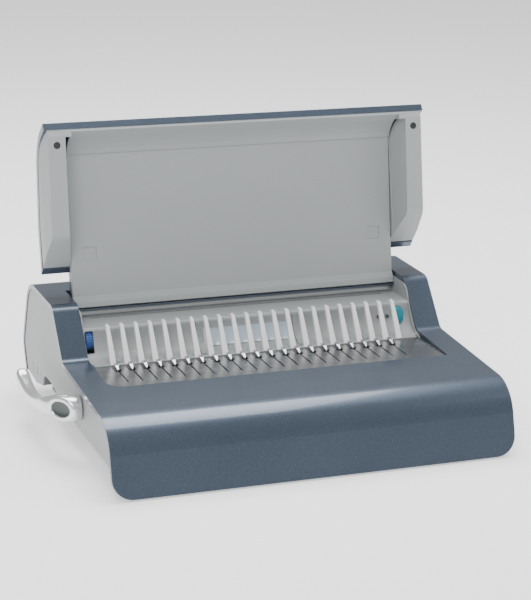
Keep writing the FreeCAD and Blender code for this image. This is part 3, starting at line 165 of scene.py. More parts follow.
class Recipe:
    """The node tree of one material, with the few patterns that the finishes share."""

    def __init__(self, name: str) -> None:
        """Start a material with a single shader."""
        self.material = bpy.data.materials.new(name)
        self.material.use_nodes = True
        self.tree = self.material.node_tree
        self.tree.nodes.clear()
        output = self.tree.nodes.new("ShaderNodeOutputMaterial")
        self.shader = self.tree.nodes.new("ShaderNodeBsdfPrincipled")
        self.tree.links.new(self.shader.outputs[0], output.inputs["Surface"])

    def feed(self, socket: bpy.types.NodeSocket, value: Input) -> None:
        """Link a signal to a socket, or set the socket's own value.

        Args:
            socket: The input socket.
            value: A signal, a number, or a colour or vector.
        """
        if isinstance(value, Signal):
            self.tree.links.new(value.socket, socket)
        elif isinstance(value, tuple) and len(value) == 3 and socket.type == "RGBA":
            socket.default_value = (*value, 1.0)
        else:
            socket.default_value = value

    def node(self, kind: str, settings: dict[str, object], values: dict[int | str, Input],
             output: int | str = 0) -> Signal:
        """Add any node.

        Args:
            kind: The node's type.
            settings: Its properties, which are set first.
            values: Its input sockets, by index or name.
            output: The output to take, by index or name.

        Returns:
            The chosen output.
        """
        made = self.tree.nodes.new(kind)
        for key, value in settings.items():
            setattr(made, key, value)
        for key, value in values.items():
            self.feed(made.inputs[key], value)
        return Signal(self, made.outputs[output])

    def set(self, **sockets: Input) -> None:
        """Set the shader's sockets, named with underscores for spaces."""
        for key, value in sockets.items():
            self.feed(self.shader.inputs[key.replace("_", " ")], value)

    def place(self) -> Signal:
        """The place on the machine, in metres."""
        return self.node("ShaderNodeTexCoord", {}, {}, "Object")

    def part(self, axis: Axis) -> Signal:
        """One component of the place on the machine, in metres."""
        return self.node("ShaderNodeSeparateXYZ", {}, {0: self.place()}, axis.value)

    def stretched(self, grain: Grain) -> Signal:
        """The place, squeezed along a grain so that a pattern is drawn out along it."""
        return self.node("ShaderNodeVectorMath", {"operation": "MULTIPLY"}, {0: self.place(), 1: grain.value})

    def noise(self, size: float, detail: float = 2.0, where: Signal | None = None) -> Signal:
        """Cloudy variation from nought to one.

        Args:
            size: The width of its patches, in metres.
            detail: How many finer layers it has.
            where: The place it is read at, the machine's own if none is given.

        Returns:
            The pattern.
        """
        return self.node("ShaderNodeTexNoise", {}, {"Vector": where or self.place(), "Scale": 1.0 / size,
                                                    "Detail": detail, "Roughness": 0.55})

    def cells(self, size: float) -> Signal:
        """A random value for each of many small grains."""
        grains = self.node("ShaderNodeTexVoronoi", {}, {"Vector": self.place(), "Scale": 1.0 / size}, "Color")
        return self.node("ShaderNodeSeparateColor", {}, {0: grains}, 0)

    def blend(self, share: Input, first: Input, second: Input) -> Signal:
        """Mix two colours.

        Args:
            share: How much of the second.
            first: The colour at nought.
            second: The colour at one.

        Returns:
            The mixed colour.
        """
        pair = [(*c, 1.0) if isinstance(c, tuple) else c for c in (first, second)]
        return self.node("ShaderNodeMix", {"data_type": "RGBA"}, {0: share, 6: pair[0], 7: pair[1]}, 2)

    def tinted(self, colour: Colour, light: float, pattern: Signal) -> Signal:
        """A colour that drifts lighter and darker with a pattern.

        Args:
            colour: The middle colour.
            light: The largest change either way, as a share of the colour.
            pattern: What the change follows, from nought to one.

        Returns:
            The drifting colour.
        """
        darker, lighter = (tuple(c * share for c in colour) for share in (1 - light, 1 + light))
        return self.blend(pattern, darker, lighter)

    def relief(self, height: Signal, depth: float, edge: float) -> Signal:
        """A surface normal with fine relief and softened edges.

        Args:
            height: The relief pattern.
            depth: How deep it is, in metres.
            edge: The radius that sharp edges are softened to, in metres.

        Returns:
            The normal.
        """
        soft = self.node("ShaderNodeBevel", {"samples": 4}, {"Radius": edge})
        return self.node("ShaderNodeBump", {}, {"Strength": 1.0, "Distance": depth, "Height": height,
                                                "Normal": soft})

    def edge_wear(self, edge: float) -> Signal:
        """A mask of the sharp edges that hands rub.

        Args:
            edge: How wide the rubbed band is, in metres.

        Returns:
            One on the edges, nought on flat faces.
        """
        soft = self.node("ShaderNodeBevel", {"samples": 4}, {"Radius": edge})
        plain = self.node("ShaderNodeNewGeometry", {}, {}, "Normal")
        along = self.node("ShaderNodeVectorMath", {"operation": "DOT_PRODUCT"}, {0: soft, 1: plain}, "Value")
        return along.between(0.995, 0.80)


# ---------------------------------------------------------------- finishes


@dataclass(frozen=True)
class Finish:
    """A surface finish that can be put on pieces and nodes."""

    name: str

    def paint(self, recipe: Recipe) -> None:
        """Build the finish in a recipe."""
        raise NotImplementedError

    def material(self) -> bpy.types.Material:
        """The finish's material, built on first use."""
        label = f"{self.name}_finish"
        ready = bpy.data.materials.get(label)
        if ready is None:
            recipe = Recipe(label)
            self.paint(recipe)
            ready = recipe.material
        return ready


@dataclass(frozen=True)
class MetallicLacquer(Finish):
    """Glossy lacquer with fine metal flake under a clear coat."""

    colour: Colour = (0.062, 0.084, 0.118)
    flake: float = 0.0007
    metal: float = 0.6
    rough: float = 0.34
    edge: float = 0.0007
    worn: Colour = (0.30, 0.34, 0.40)
    ripple: float = 0.000006

    def paint(self, recipe: Recipe) -> None:
        """Build the lacquer."""
        flakes = recipe.cells(self.flake)
        drift = recipe.noise(0.09, 1.0)
        body = recipe.tinted(self.colour, 0.13, flakes * 0.7 + drift * 0.3)
        glints = (recipe.cells(self.flake * 0.6) > 0.93) * 0.35
        sparkled = recipe.blend(glints, body, tuple(min(1.0, c * 2.4) for c in self.colour))
        worn = recipe.blend(recipe.edge_wear(0.0006) * 0.25, sparkled, self.worn)
        smears = recipe.noise(0.05, 3.0)
        recipe.set(Base_Color=worn, Metallic=self.metal, Roughness=self.rough - 0.04 + smears * 0.08,
                   Coat_Weight=0.55, Coat_Roughness=0.10,
                   Normal=recipe.relief(recipe.noise(0.0011, 1.0), self.ripple, self.edge))


@dataclass(frozen=True)
class MouldedPlastic(Finish):
    """Moulded plastic with a fine spark-eroded grain."""

    colour: Colour = (0.45, 0.46, 0.465)
    rough: float = 0.46
    grain: float = 0.0006
    depth: float = 0.00003
    coat: float = 0.0
    edge: float = 0.0005
    dust: float = 0.035

    def paint(self, recipe: Recipe) -> None:
        """Build the moulded surface."""
        fine = recipe.noise(self.grain, 3.0)
        broad = recipe.noise(0.06, 2.0)
        body = recipe.tinted(self.colour, self.dust, fine * 0.4 + broad * 0.6)
        rubbed = recipe.blend(recipe.edge_wear(0.0005) * 0.3, body, tuple(min(1.0, c * 1.25 + 0.01)
                                                                        for c in self.colour))
        recipe.set(Base_Color=rubbed, Roughness=self.rough - 0.05 + broad * 0.10, Coat_Weight=self.coat,
                   Coat_Roughness=0.12, Normal=recipe.relief(fine, self.depth, self.edge))


@dataclass(frozen=True)
class ScoopedPlastic(MouldedPlastic):
    """Moulded plastic whose sunk carry scoop is painted darker than the face, as painted shade."""

    face: float = 0.1970
    front: float = 0.021
    rear: float = 0.092
    top: float = 0.043
    # Painted shade: the dark colour that the scoop's base colour is blended towards, and how far.
    painted_shade: Colour = (0.085, 0.09, 0.095)
    painted_shade_share: float = 0.82

    def paint(self, recipe: Recipe) -> None:
        """Build the moulded surface, then paint shade into its scoop."""
        MouldedPlastic.paint(self, recipe)
        aside, along = recipe.part(Axis.X), recipe.part(Axis.Y)
        sunk = (aside < CASING_MIDDLE_X + self.face) * (aside > CASING_MIDDLE_X - self.face)
        scoop = sunk * (along > self.front) * (along < self.rear) * (recipe.part(Axis.Z) < self.top)
        plain = Signal(recipe, recipe.shader.inputs["Base Color"].links[0].from_socket)
        # Painted shade: darken the base colour inside the sunk carry scoop, where shadow falls.
        recipe.set(Base_Color=recipe.blend(scoop * self.painted_shade_share, plain, self.painted_shade))


@dataclass(frozen=True)
class BrushedMetal(Finish):
    """Metal brushed, drawn or ground along one way."""

    colour: Colour = (0.60, 0.61, 0.62)
    grain: Grain = Grain.ALONG_X
    rough: float = 0.34
    contrast: float = 0.12
    edge: float = 0.0003

    def paint(self, recipe: Recipe) -> None:
        """Build the brushed metal."""
        where = recipe.stretched(self.grain)
        strokes = recipe.noise(0.0009, 3.0, where)
        bands = recipe.noise(0.012, 2.0, where)
        handled = recipe.noise(0.03, 3.0)
        body = recipe.tinted(self.colour, self.contrast, strokes * 0.6 + bands * 0.4)
        recipe.set(Base_Color=body, Metallic=0.95,
                   Roughness=self.rough - 0.07 + strokes * 0.09 + handled.between(0.35, 0.75) * 0.07,
                   Normal=recipe.relief(strokes, 0.000012, self.edge))


@dataclass(frozen=True)
class PlatedSteel(Finish):
    """Pressed steel with a blotchy zinc or oiled surface."""

    colour: Colour = (0.52, 0.53, 0.53)
    warm: Colour = (0.55, 0.50, 0.40)
    rough: float = 0.38

    def paint(self, recipe: Recipe) -> None:
        """Build the plated steel."""
        spangle = recipe.cells(0.004)
        stains = recipe.noise(0.02, 4.0).between(0.45, 0.75)
        body = recipe.blend(stains * 0.35, recipe.tinted(self.colour, 0.08, spangle), self.warm)
        recipe.set(Base_Color=body, Metallic=0.9, Roughness=self.rough + spangle * 0.08 - stains * 0.06,
                   Normal=recipe.relief(recipe.noise(0.0016, 2.0), 0.00001, 0.0003))


@dataclass(frozen=True)
class Rubber(Finish):
    """Matt black rubber with a dusty bloom."""

    colour: Colour = (0.018, 0.018, 0.019)

    def paint(self, recipe: Recipe) -> None:
        """Build the rubber."""
        bloom = recipe.noise(0.004, 4.0).between(0.45, 0.85)
        recipe.set(Base_Color=recipe.blend(bloom * 0.35, self.colour, (0.075, 0.074, 0.072)),
                   Roughness=0.62 + bloom * 0.2,
                   Normal=recipe.relief(recipe.noise(0.0005, 2.0), 0.00004, 0.0004))


@dataclass(frozen=True)
class PrintedFilm(Finish):
    """The glossy pale label strip, with a paler border and a row of plain size marks."""

    colour: Colour = (0.46, 0.55, 0.62)
    start: float = -0.0339
    stop: float = 0.0561
    pitch: float = 0.01
    mark: float = 0.0004

    def paint(self, recipe: Recipe) -> None:
        """Build the printed film."""
        across = recipe.part(Axis.X)
        margin = 0.0016
        border = 1 - (across > self.start + margin) * (across < self.stop - margin)
        step = (across - self.start) % self.pitch
        marks = (step < self.mark) * (recipe.part(Axis.Z) < 0.0805) * (1 - border)
        body = recipe.blend(border * 0.7, recipe.tinted(self.colour, 0.05, recipe.noise(0.02, 2.0)),
                            (0.68, 0.72, 0.75))
        inked = recipe.blend(marks * 0.55, body, (0.12, 0.16, 0.22))
        recipe.set(Base_Color=inked, Roughness=0.28 + recipe.noise(0.01, 3.0) * 0.06, Coat_Weight=0.6,
                   Coat_Roughness=0.05)


@dataclass(frozen=True)
class CircuitBoard(Finish):
    """A green board with copper tracks, and dark components above its face."""

    face: float = 0.0297

    def paint(self, recipe: Recipe) -> None:
        """Build the board and its components."""
        cross, along = recipe.part(Axis.X), recipe.part(Axis.Y)
        wander = recipe.noise(0.011, 0.0) * 0.008
        tracks = 1 - (1 - ((cross + wander) % 0.0042 < 0.0009)) * (1 - ((along + wander) % 0.0065 < 0.0009))
        board = recipe.blend(tracks * 0.7, (0.012, 0.13, 0.05), (0.05, 0.27, 0.11))
        high = recipe.part(Axis.Z) > self.face
        parts = recipe.blend(recipe.noise(0.02, 0.0).between(0.45, 0.55), (0.02, 0.02, 0.023),
                             (0.10, 0.11, 0.16))
        recipe.set(Base_Color=recipe.blend(high, board, parts), Roughness=0.38 + tracks * 0.12,
                   Normal=recipe.relief(tracks, 0.00003, 0.0003))


@dataclass(frozen=True)
class WoundCore(Finish):
    """A varnished lamination stack with its taped winding."""

    front: float = 0.0932
    rear: float = 0.1262

    def paint(self, recipe: Recipe) -> None:
        """Build the core and the winding."""
        along = recipe.part(Axis.Y)
        sheets = (along % 0.0008) / 0.0008
        winding = 1 - (along > self.front) * (along < self.rear)
        turns = (recipe.part(Axis.Z) % 0.0011) / 0.0011
        core = recipe.tinted((0.16, 0.12, 0.085), 0.25, sheets)
        tape = recipe.tinted((0.55, 0.40, 0.08), 0.2, turns)
        recipe.set(Base_Color=recipe.blend(winding, core, tape), Metallic=0.5 - winding * 0.5,
                   Roughness=0.45 + turns * 0.1,
                   Normal=recipe.relief(sheets * (1 - winding) + turns * winding, 0.00008, 0.0003))


@dataclass(frozen=True)
class LampLens(Finish):
    """A small coloured lens over an unlit lamp."""

    colour: Colour = (0.16, 0.03, 0.045)

    def paint(self, recipe: Recipe) -> None:
        """Build the lens."""
        ripple = recipe.noise(0.0009, 2.0)
        recipe.set(Base_Color=recipe.tinted(self.colour, 0.3, ripple), Roughness=0.14 + ripple * 0.08,
                   Coat_Weight=1.0, Coat_Roughness=0.03,
                   Normal=recipe.relief(ripple, 0.00002, 0.0006))


class Finishes:
    """Every finish of the machine, by what it is on."""

    COVER = MetallicLacquer("cover_lacquer")
    CHEEK = ScoopedPlastic("cheek_grey", colour=(0.32, 0.33, 0.335), rough=0.42)
    BAY = MouldedPlastic("bay_grey", colour=(0.33, 0.345, 0.35), rough=0.40)
    LINER = MouldedPlastic("liner_grey", colour=(0.35, 0.37, 0.375), rough=0.44)
    FINGER = MouldedPlastic("finger_white", colour=(0.90, 0.90, 0.90), rough=0.30, depth=0.00001, coat=0.2)
    BLACK = MouldedPlastic("black_grained", colour=(0.028, 0.029, 0.032), rough=0.5, dust=0.2)
    PAN = MouldedPlastic("pan_grained", colour=(0.09, 0.093, 0.10), rough=0.55, depth=0.00006, dust=0.15)
    BUTTON = MouldedPlastic("button_teal", colour=(0.012, 0.33, 0.42), rough=0.24, depth=0.000006, coat=0.5)
    WHEEL = MouldedPlastic("wheel_blue", colour=(0.035, 0.11, 0.36), rough=0.28, depth=0.000008, coat=0.3)
    GUIDE = MouldedPlastic("guide_grey", colour=(0.38, 0.40, 0.41), rough=0.33, depth=0.00001)
    NYLON = MouldedPlastic("natural_nylon", colour=(0.72, 0.70, 0.62), rough=0.38, depth=0.00001)
    PLATE = BrushedMetal("plate_steel", colour=(0.30, 0.305, 0.31), rough=0.26, contrast=0.35)
    HOOK = BrushedMetal("hook_steel", colour=(0.50, 0.51, 0.53), grain=Grain.ALONG_Y, rough=0.30)
    BRONZE = BrushedMetal("oiled_bronze", colour=(0.52, 0.34, 0.16), grain=Grain.ALL_ROUND, rough=0.34)
    ZINC = PlatedSteel("zinc_steel")
    GEAR = PlatedSteel("oiled_gear", colour=(0.36, 0.37, 0.38), warm=(0.22, 0.17, 0.10), rough=0.30)
    LEVER = MetallicLacquer("lever_silver", colour=(0.80, 0.81, 0.82), metal=0.8, rough=0.27, edge=0.001)
    RECESS = MouldedPlastic("recess_dark", colour=(0.055, 0.066, 0.068), rough=0.34, depth=0.00001, coat=0.15)
    MOTOR = MetallicLacquer("motor_enamel", colour=(0.06, 0.062, 0.066), metal=0.3, rough=0.4)
    RUBBER = Rubber("black_rubber")
    FILM = PrintedFilm("label_film")
    BOARD = CircuitBoard("circuit_board")
    SWITCH_BOARD = CircuitBoard("switch_circuit", face=0.2)
    CORE = WoundCore("wound_core")
    RED_LENS = LampLens("red_lens", colour=(0.15, 0.028, 0.04))
    GREEN_LENS = LampLens("green_lens", colour=(0.075, 0.105, 0.10))
    INK = MouldedPlastic("index_ink", colour=(0.012, 0.012, 0.013), rough=0.5, depth=0.000004)
    MARK = MouldedPlastic("switch_mark", colour=(0.75, 0.75, 0.74), rough=0.5, depth=0.000004)


# ---------------------------------------------------------------- making pieces


def dress(node: str, finish: Finish) -> None:
    """Put a finish on a CAD node.

    Args:
        node: The node's name.
        finish: Its finish.
    """
    thing = frame["nodes"][node]
    if not thing.material_slots:
        thing.data.materials.append(finish.material())
    for place in thing.material_slots:
        place.material = finish.material()
    log.info("node %s: %s", node, finish.name)


@dataclass
class Piece:
    """A fine piece made of lofted rings, with its body, slot and finish."""

    name: str
    body: Body
    slot: str
    finish: Finish
    stands_for: tuple[str, ...] = ()
    sharp: float = 38.0
    points: list[Point] = field(default_factory=list)
    faces: list[tuple[int, ...]] = field(default_factory=list)

    def loft(self, rings: list[Ring], start: bool = True, stop: bool = True) -> "Piece":
        """Add a skin over closed rings that all have as many points.

        Args:
            rings: The rings, in order.
            start: Whether the first ring is filled.
            stop: Whether the last ring is filled.

        Returns:
            This piece.
        """
        base, count = len(self.points), len(rings[0])
        for ring in rings:
            self.points.extend(ring)
        for row in range(len(rings) - 1):
            for index in range(count):
                low = base + row * count
                after = (index + 1) % count
                self.faces.append((low + index, low + after, low + count + after, low + count + index))
        if start:
            self.faces.append(tuple(base + index for index in reversed(range(count))))
        if stop:
            last = base + (len(rings) - 1) * count
            self.faces.append(tuple(last + index for index in range(count)))
        return self

    def make(self) -> bpy.types.Object:
        """Turn the skin into a finished object that rides on its body."""
        mesh = bpy.data.meshes.new(self.name)
        mesh.from_pydata(self.points, [], self.faces)
        mesh.validate()
        mesh.update()
        solid = bpy.data.objects.new(self.name, mesh)
        bpy.context.scene.collection.objects.link(solid)
        outward(mesh)
        for face in mesh.polygons:
            face.use_smooth = True
        mesh.set_sharp_from_angle(angle=math.radians(self.sharp))
        mesh.materials.append(self.finish.material())
        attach(solid, self.body.value)
        if self.stands_for:
            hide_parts(*self.stands_for)
        log.info("piece %s on %s: %d faces, %s", self.name, self.body.value, len(mesh.polygons),
                 self.finish.name)
        return solid


def outward(mesh: bpy.types.Mesh) -> None:
    """Turn every face of a closed mesh to face out."""
    import bmesh

    work = bmesh.new()
    work.from_mesh(mesh)
    bmesh.ops.recalc_face_normals(work, faces=work.faces)
    work.to_mesh(mesh)
    work.free()


def turned_rings(centre: Point, axis: Axis, profile: list[tuple[float, float]],
                 steps: int = 48) -> list[Ring]:
    """Rings of a turned shape.

    Args:
        centre: The point on the axis that heights are counted from.
        axis: The axis it is turned about.
        profile: Pairs of radius and height along the axis.
        steps: Points in each ring.

    Returns:
        The rings.
    """
    rings = []
    for radius, height in profile:
        ring = []
        for step in range(steps):
            angle = 2 * math.pi * step / steps
            spread = [radius * math.cos(angle), radius * math.sin(angle)]
            spread.insert(axis.value, height)
            ring.append(tuple(c + s for c, s in zip(centre, spread)))
        rings.append(ring)
    return rings


def rounded_box_rings(centre: Point, half: Point, corner: float, axis: Axis, edge: float) -> list[Ring]:
    """Rings of a block with rounded corners and softened ends.

    Args:
        centre: Its middle.
        half: Its half sizes.
        corner: The radius of its four long edges.
        axis: The way the long edges run.
        edge: The radius round each end.

    Returns:
        The rings.
    """
    others = [a for a in Axis if a is not axis]
    wide, tall, deep = (half[others[0].value], half[others[1].value], half[axis.value])
    rings = []
    stations = [(-deep, edge), (-deep + edge * 0.3, edge * 0.3), (-deep + edge, 0.0), (deep - edge, 0.0),
                (deep - edge * 0.3, edge * 0.3), (deep, edge)]
    for height, inset in stations:
        ring = []
        for quarter in range(4):
            for step in range(7):
                angle = math.pi / 2 * (quarter + step / 6)
                corner_x = (wide - corner) * (1 if quarter in (0, 3) else -1)
                corner_y = (tall - corner) * (1 if quarter in (0, 1) else -1)
                reach = max(corner - inset, corner * 0.1)
                spot = [corner_x + reach * math.cos(angle), corner_y + reach * math.sin(angle)]
                spot.insert(axis.value, height)
                ring.append(tuple(c + s for c, s in zip(centre, spot)))
        rings.append(ring)
    return rings


def curve_through(points: list[tuple[float, ...]], share: float) -> list[float]:
    """A point on the smooth curve through several points.

    Args:
        points: The points, each with as many values.
        share: How far along, from nought to one.

    Returns:
        The values there.
    """
    spans = len(points) - 1
    place = min(share * spans, spans - 1e-9)
    index = int(place)
    part = place - index
    before, here = points[max(index - 1, 0)], points[index]
    after, later = points[index + 1], points[min(index + 2, spans)]
    values = []
    for a, b, c, d in zip(before, here, after, later):
        values.append(0.5 * (2 * b + (c - a) * part + (2 * a - 5 * b + 4 * c - d) * part ** 2
                             + (3 * b - a - 3 * c + d) * part ** 3))
    return values


# ---------------------------------------------------------------- sub-assemblies


@dataclass
class Casing:
    """The lacquered covers, the grey cheeks and the pan with its feet and screws."""

    lacquered: tuple[str, ...] = ("top_cover", "rear_cover")
    cheeks: tuple[str, ...] = ("left_cheek", "right_cheek")
    foot_radius: float = 9 * MM
    screw_radius: float = 3.6 * MM

    def make(self) -> None:
        """Dress the casing and add its feet and pan screws."""
        for node in self.lacquered:
            dress(node, Finishes.COVER)
        for node in self.cheeks:
            dress(node, Finishes.CHEEK)
        dress("base_pan", Finishes.PAN)
        self.feet()
        self.pan_screws()

    def foot_places(self) -> list[tuple[float, float]]:
        """The middles of the four feet."""
        low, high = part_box("rubber_feet")
        return [(x, y) for x in (low[0] + self.foot_radius, high[0] - self.foot_radius)
                for y in (low[1] + self.foot_radius, high[1] - self.foot_radius)]

    def feet(self) -> None:
        """Turned rubber feet with a rounded tread and a ring groove."""
        low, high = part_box("rubber_feet")
        tall = high[2] - low[2]
        feet = Piece("rubber_foot_pads", Body.MACHINE, "foot_rubber", Finishes.RUBBER, ("rubber_feet",))
        r = self.foot_radius
        profile = [(r * 0.98, tall), (r, tall * 0.6), (r * 0.97, tall * 0.25), (r * 0.9, tall * 0.04),
                   (r * 0.86, 0.0), (r * 0.62, 0.0), (r * 0.58, tall * 0.12), (r * 0.52, tall * 0.12),
                   (r * 0.48, 0.0), (r * 0.3, 0.0)]
        for x, y in self.foot_places():
            feet.loft(turned_rings((x, y, low[2]), Axis.Z, profile))
        feet.make()

    def pan_screws(self) -> None:
        """Screw heads in the underside of the pan, beside the feet."""
        low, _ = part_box("base_pan")
        screws = Piece("pan_screws", Body.MACHINE, "zinc_steel", Finishes.ZINC)
        r = self.screw_radius
        profile = [(r, 0.3 * MM), (r, -0.5 * MM), (r * 0.85, -0.95 * MM), (r * 0.5, -1.15 * MM),
                   (r * 0.42, -1.15 * MM), (r * 0.30, -0.4 * MM)]
        for x, y in self.foot_places():
            side = 1 if x > 0 else -1
            screws.loft(turned_rings((x - side * 0.02, y, low[2]), Axis.Z, profile, 24))
        screws.make()


@dataclass
class CombBay:
    """The curved wall, the fingers, the hooks and the slotted steel plate."""

    index_x: float = 9.0 * MM
    index_y: float = -49.0 * MM
    index_half: float = 2.2 * MM

    def make(self) -> None:
        """Dress the bay and add the index mark."""
        for node in ("comb_housing", "wall_ribs", "finger_rail"):
            dress(node, Finishes.BAY)
        dress("comb_plate", Finishes.PLATE)
        dress("size_strip", Finishes.FILM)
        dress("comb_fingers", Finishes.FINGER)
        for node in ("hook_blades", "hook_bar", "hook_racks"):
            dress(node, Finishes.HOOK)
        dress("carriage_guides", Finishes.NYLON)
        self.index_mark()

    def index_mark(self) -> None:
        """The small dark triangle printed on the plate where the middle of a comb goes."""
        _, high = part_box("comb_plate")
        x, y, half = self.index_x, self.index_y, self.index_half
        outline = [(x - half, y - half * 0.8), (x + half, y - half * 0.8), (x, y + half)]
        mark = Piece("index_mark", Body.MACHINE, "base_black", Finishes.INK)
        mark.loft([[(u, v, z) for u, v in outline] for z in (high[2] - 0.05 * MM, high[2] + 0.06 * MM)])
        mark.make()


@dataclass
class Lid:
    """The open lid: its lacquered shell, grey liner and rubber bumpers."""

    bumper_radius: float = 3.3 * MM

    def make(self) -> None:
        """Dress the lid and round off its bumpers."""
        dress("lid_shell", Finishes.COVER)
        dress("lid_liner", Finishes.LINER)
        dress("hinge_pins", Finishes.ZINC)
        self.bumpers()

    def bumpers(self) -> None:
        """Domed buttons square to the faces of the two columns."""
        low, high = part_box("lid_bumpers")
        angle = math.radians(next(j["range_deg"][1] for j in frame["joints"] if j["name"] == "lid_hinge"))
        swing = Matrix.Rotation(-angle, 3, "X")
        outward_way = swing @ Vector((0, 0, -1))
        middle_y, middle_z = (low[1] + high[1]) / 2, (low[2] + high[2]) / 2
        r = self.bumper_radius
        bumpers = Piece("lid_bumper_pads", Body.LID, "foot_rubber", Finishes.RUBBER, ("lid_bumpers",))
        profile = [(r, -1.4 * MM), (r, 0.75 * MM), (r * 0.93, 1.15 * MM), (r * 0.75, 1.38 * MM),
                   (r * 0.4, 1.48 * MM)]
        for x in (low[0] + r, high[0] - r):
            rings = []
            for radius, height in profile:
                ring = []
                for step in range(32):
                    turn = 2 * math.pi * step / 32
                    spot = Vector((x, middle_y, middle_z)) + outward_way * height
                    spot += Vector((radius * math.cos(turn), 0, 0))
                    spot += (swing @ Vector((0, 1, 0))) * (radius * math.sin(turn))
                    ring.append(tuple(spot))
                rings.append(ring)
            bumpers.loft(rings)
        bumpers.make()


@dataclass
class Lever:
    """The silver lever: a turned hub with a dished recess, and a swept arm with a thumb grip."""

    centre: tuple[float, float] = (-57.8 * MM, 53.0 * MM)
    inner_x: float = -183.5 * MM
    face_x: float = -202.3 * MM
    face_slope: float = -0.82
    hub_radius: float = 12.0 * MM
    path: tuple[tuple[float, float, float, float, float], ...] = (
        (-188.5, -51.0, 53.0, 5.0, 10.0), (-198.0, -41.0, 51.8, 6.4, 10.0), (-205.6, -27.0, 47.6, 6.8, 8.6),
        (-207.8, -8.0, 43.0, 6.8, 7.0), (-208.2, 14.0, 39.6, 6.7, 6.2), (-208.0, 36.0, 38.4, 6.7, 6.4),
        (-207.8, 54.0, 40.4, 6.8, 7.4), (-207.6, 67.0, 44.2, 6.9, 8.4), (-207.4, 77.0, 48.4, 6.6, 7.0))
    sections: int = 64
    around: int = 40
    recess: tuple[tuple[float, float, float], ...] = (
        (8.4, 7.3, 3.4), (8.45, 7.35, 0.9), (8.0, 6.9, 1.3), (6.6, 5.7, 2.2), (4.2, 3.6, 2.8),
        (1.2, 1.0, 3.0))
    rim: tuple[tuple[float, float], ...] = (
        (0.0, 2.2), (0.15, 1.3), (0.6, 0.55), (1.1, 0.1), (2.0, 0.0), (3.0, 0.1), (3.45, 0.5))
    rim_squash: float = 1.3
    recess_floor: float = 3.6
    squareness: float = 0.78
    tip_start: float = 0.90
    grip: tuple[float, float, float] = (0.87, 0.075, 2.4)
    waist: tuple[float, float, float] = (0.50, 0.22, 0.8)

    def make(self) -> None:
        """Build the lever and dress its shaft."""
        lever = Piece("lever_arm", Body.LEVER, "lever_silver", Finishes.LEVER, ("lever_handle",), sharp=50.0)
        lever.loft(self.hub_rings())
        lever.loft(self.arm_rings())
        lever.make()
        recess = Piece("lever_recess", Body.LEVER, "cap_dark", Finishes.RECESS, ("lever_cap",))
        recess.loft(self.face_rings(list(self.recess)))
        recess.make()
        for node in ("lever_shaft", "tie_rods"):
            dress(node, Finishes.ZINC)
        dress("lever_pinions", Finishes.NYLON)
        dress("shaft_bushes", Finishes.BRONZE)

    def face_rings(self, profile: list[tuple[float, float, float]]) -> list[Ring]:
        """Rings parallel to the hub's slanted face.

        Args:
            profile: Half length, half height and depth behind the face, in millimetres.

        Returns:
            The rings.
        """
        rings = []
        for long, tall, depth in profile:
            ring = []
            for step in range(self.around):
                angle = 2 * math.pi * step / self.around
                y = long * MM * math.cos(angle)
                x = self.face_x + self.face_slope * y + depth * MM
                ring.append((x, self.centre[0] + y, self.centre[1] + tall * MM * math.sin(angle)))
            rings.append(ring)
        return rings

    def hub_rings(self) -> list[Ring]:
        """The hub, from the casing side out to its rim and into the recess."""
        r = self.hub_radius / MM
        back = turned_rings((self.inner_x, *self.centre), Axis.X,
                            [(self.hub_radius * 0.6, 0.0), (self.hub_radius * 0.96, 0.0),
                             (self.hub_radius, -0.6 * MM)], self.around)
        rim = [(r - inset, r - inset * self.rim_squash, depth) for inset, depth in self.rim]
        floor = [(r - 3.5, r - 4.6, self.recess_floor), (1.0, 1.0, self.recess_floor)]
        front = self.face_rings(rim + floor)
        return back + front

    @staticmethod
    def swell(share: float, bump: tuple[float, float, float]) -> float:
        """How deep a smooth hollow of the arm is at a place along it.

        Args:
            share: The place, from nought at the hub to one at the tip.
            bump: The hollow's middle, its width and its greatest depth in millimetres.

        Returns:
            The depth, in millimetres.
        """
        middle, width, depth = bump
        return math.exp(-((share - middle) / width) ** 2) * depth

    def arm_rings(self) -> list[Ring]:
        """The arm, a rounded bar that sweeps back and turns up at the thumb grip."""
        rings = []
        for row in range(self.sections + 1):
            share = row / self.sections
            x, y, z, wide, tall = curve_through(list(self.path), share)
            ahead = curve_through(list(self.path), min(share + 0.01, 1.0))
            behind = curve_through(list(self.path), max(share - 0.01, 0.0))
            along = Vector([a - b for a, b in zip(ahead[:3], behind[:3])]).normalized()
            up = along.cross(Vector((-1, 0, 0))).normalized()
            side = up.cross(along)
            tip = max(0.0, (share - self.tip_start) / (1 - self.tip_start))
            close = math.sqrt(max(0.0, 1 - tip ** 2.2)) * 0.98 + 0.02
            grip, waist = self.swell(share, self.grip), self.swell(share, self.waist)
            ring = []
            for step in range(self.around):
                angle = 2 * math.pi * step / self.around
                c, s = math.cos(angle), math.sin(angle)
                across = math.copysign(abs(c) ** self.squareness, c) * (wide - waist * 0.4)
                lift = math.copysign(abs(s) ** self.squareness, s) * tall
                if s > 0:
                    lift -= grip * s * (1 - 0.55 * abs(c))
                spot = Vector((x, y, z)) + side * (across * close) + up * (lift * close)
                ring.append(tuple(value * MM for value in spot))
            rings.append(ring)
        return rings


@dataclass
class PunchUnit:
    """The chassis, the punch and its geared drive."""

    zinc: tuple[str, ...] = ("left_chassis_plate", "right_chassis_plate", "base_screws", "punch_bar",
                             "cam_discs", "idler_pin")
    ground: tuple[str, ...] = ("die_plate", "guide_plate", "paper_stop", "punch_pins", "cam_shaft",
                               "motor_shaft")

    def make(self) -> None:
        """Dress every part of the drive."""
        for node in self.zinc:
            dress(node, Finishes.ZINC)
        for node in self.ground:
            dress(node, Finishes.HOOK)
        for node in ("bull_gear", "motor_pinion"):
            dress(node, Finishes.GEAR)
        dress("idler_gear", Finishes.NYLON)
        dress("motor", Finishes.MOTOR)
        dress("transformer", Finishes.CORE)
        dress("control_board", Finishes.BOARD)


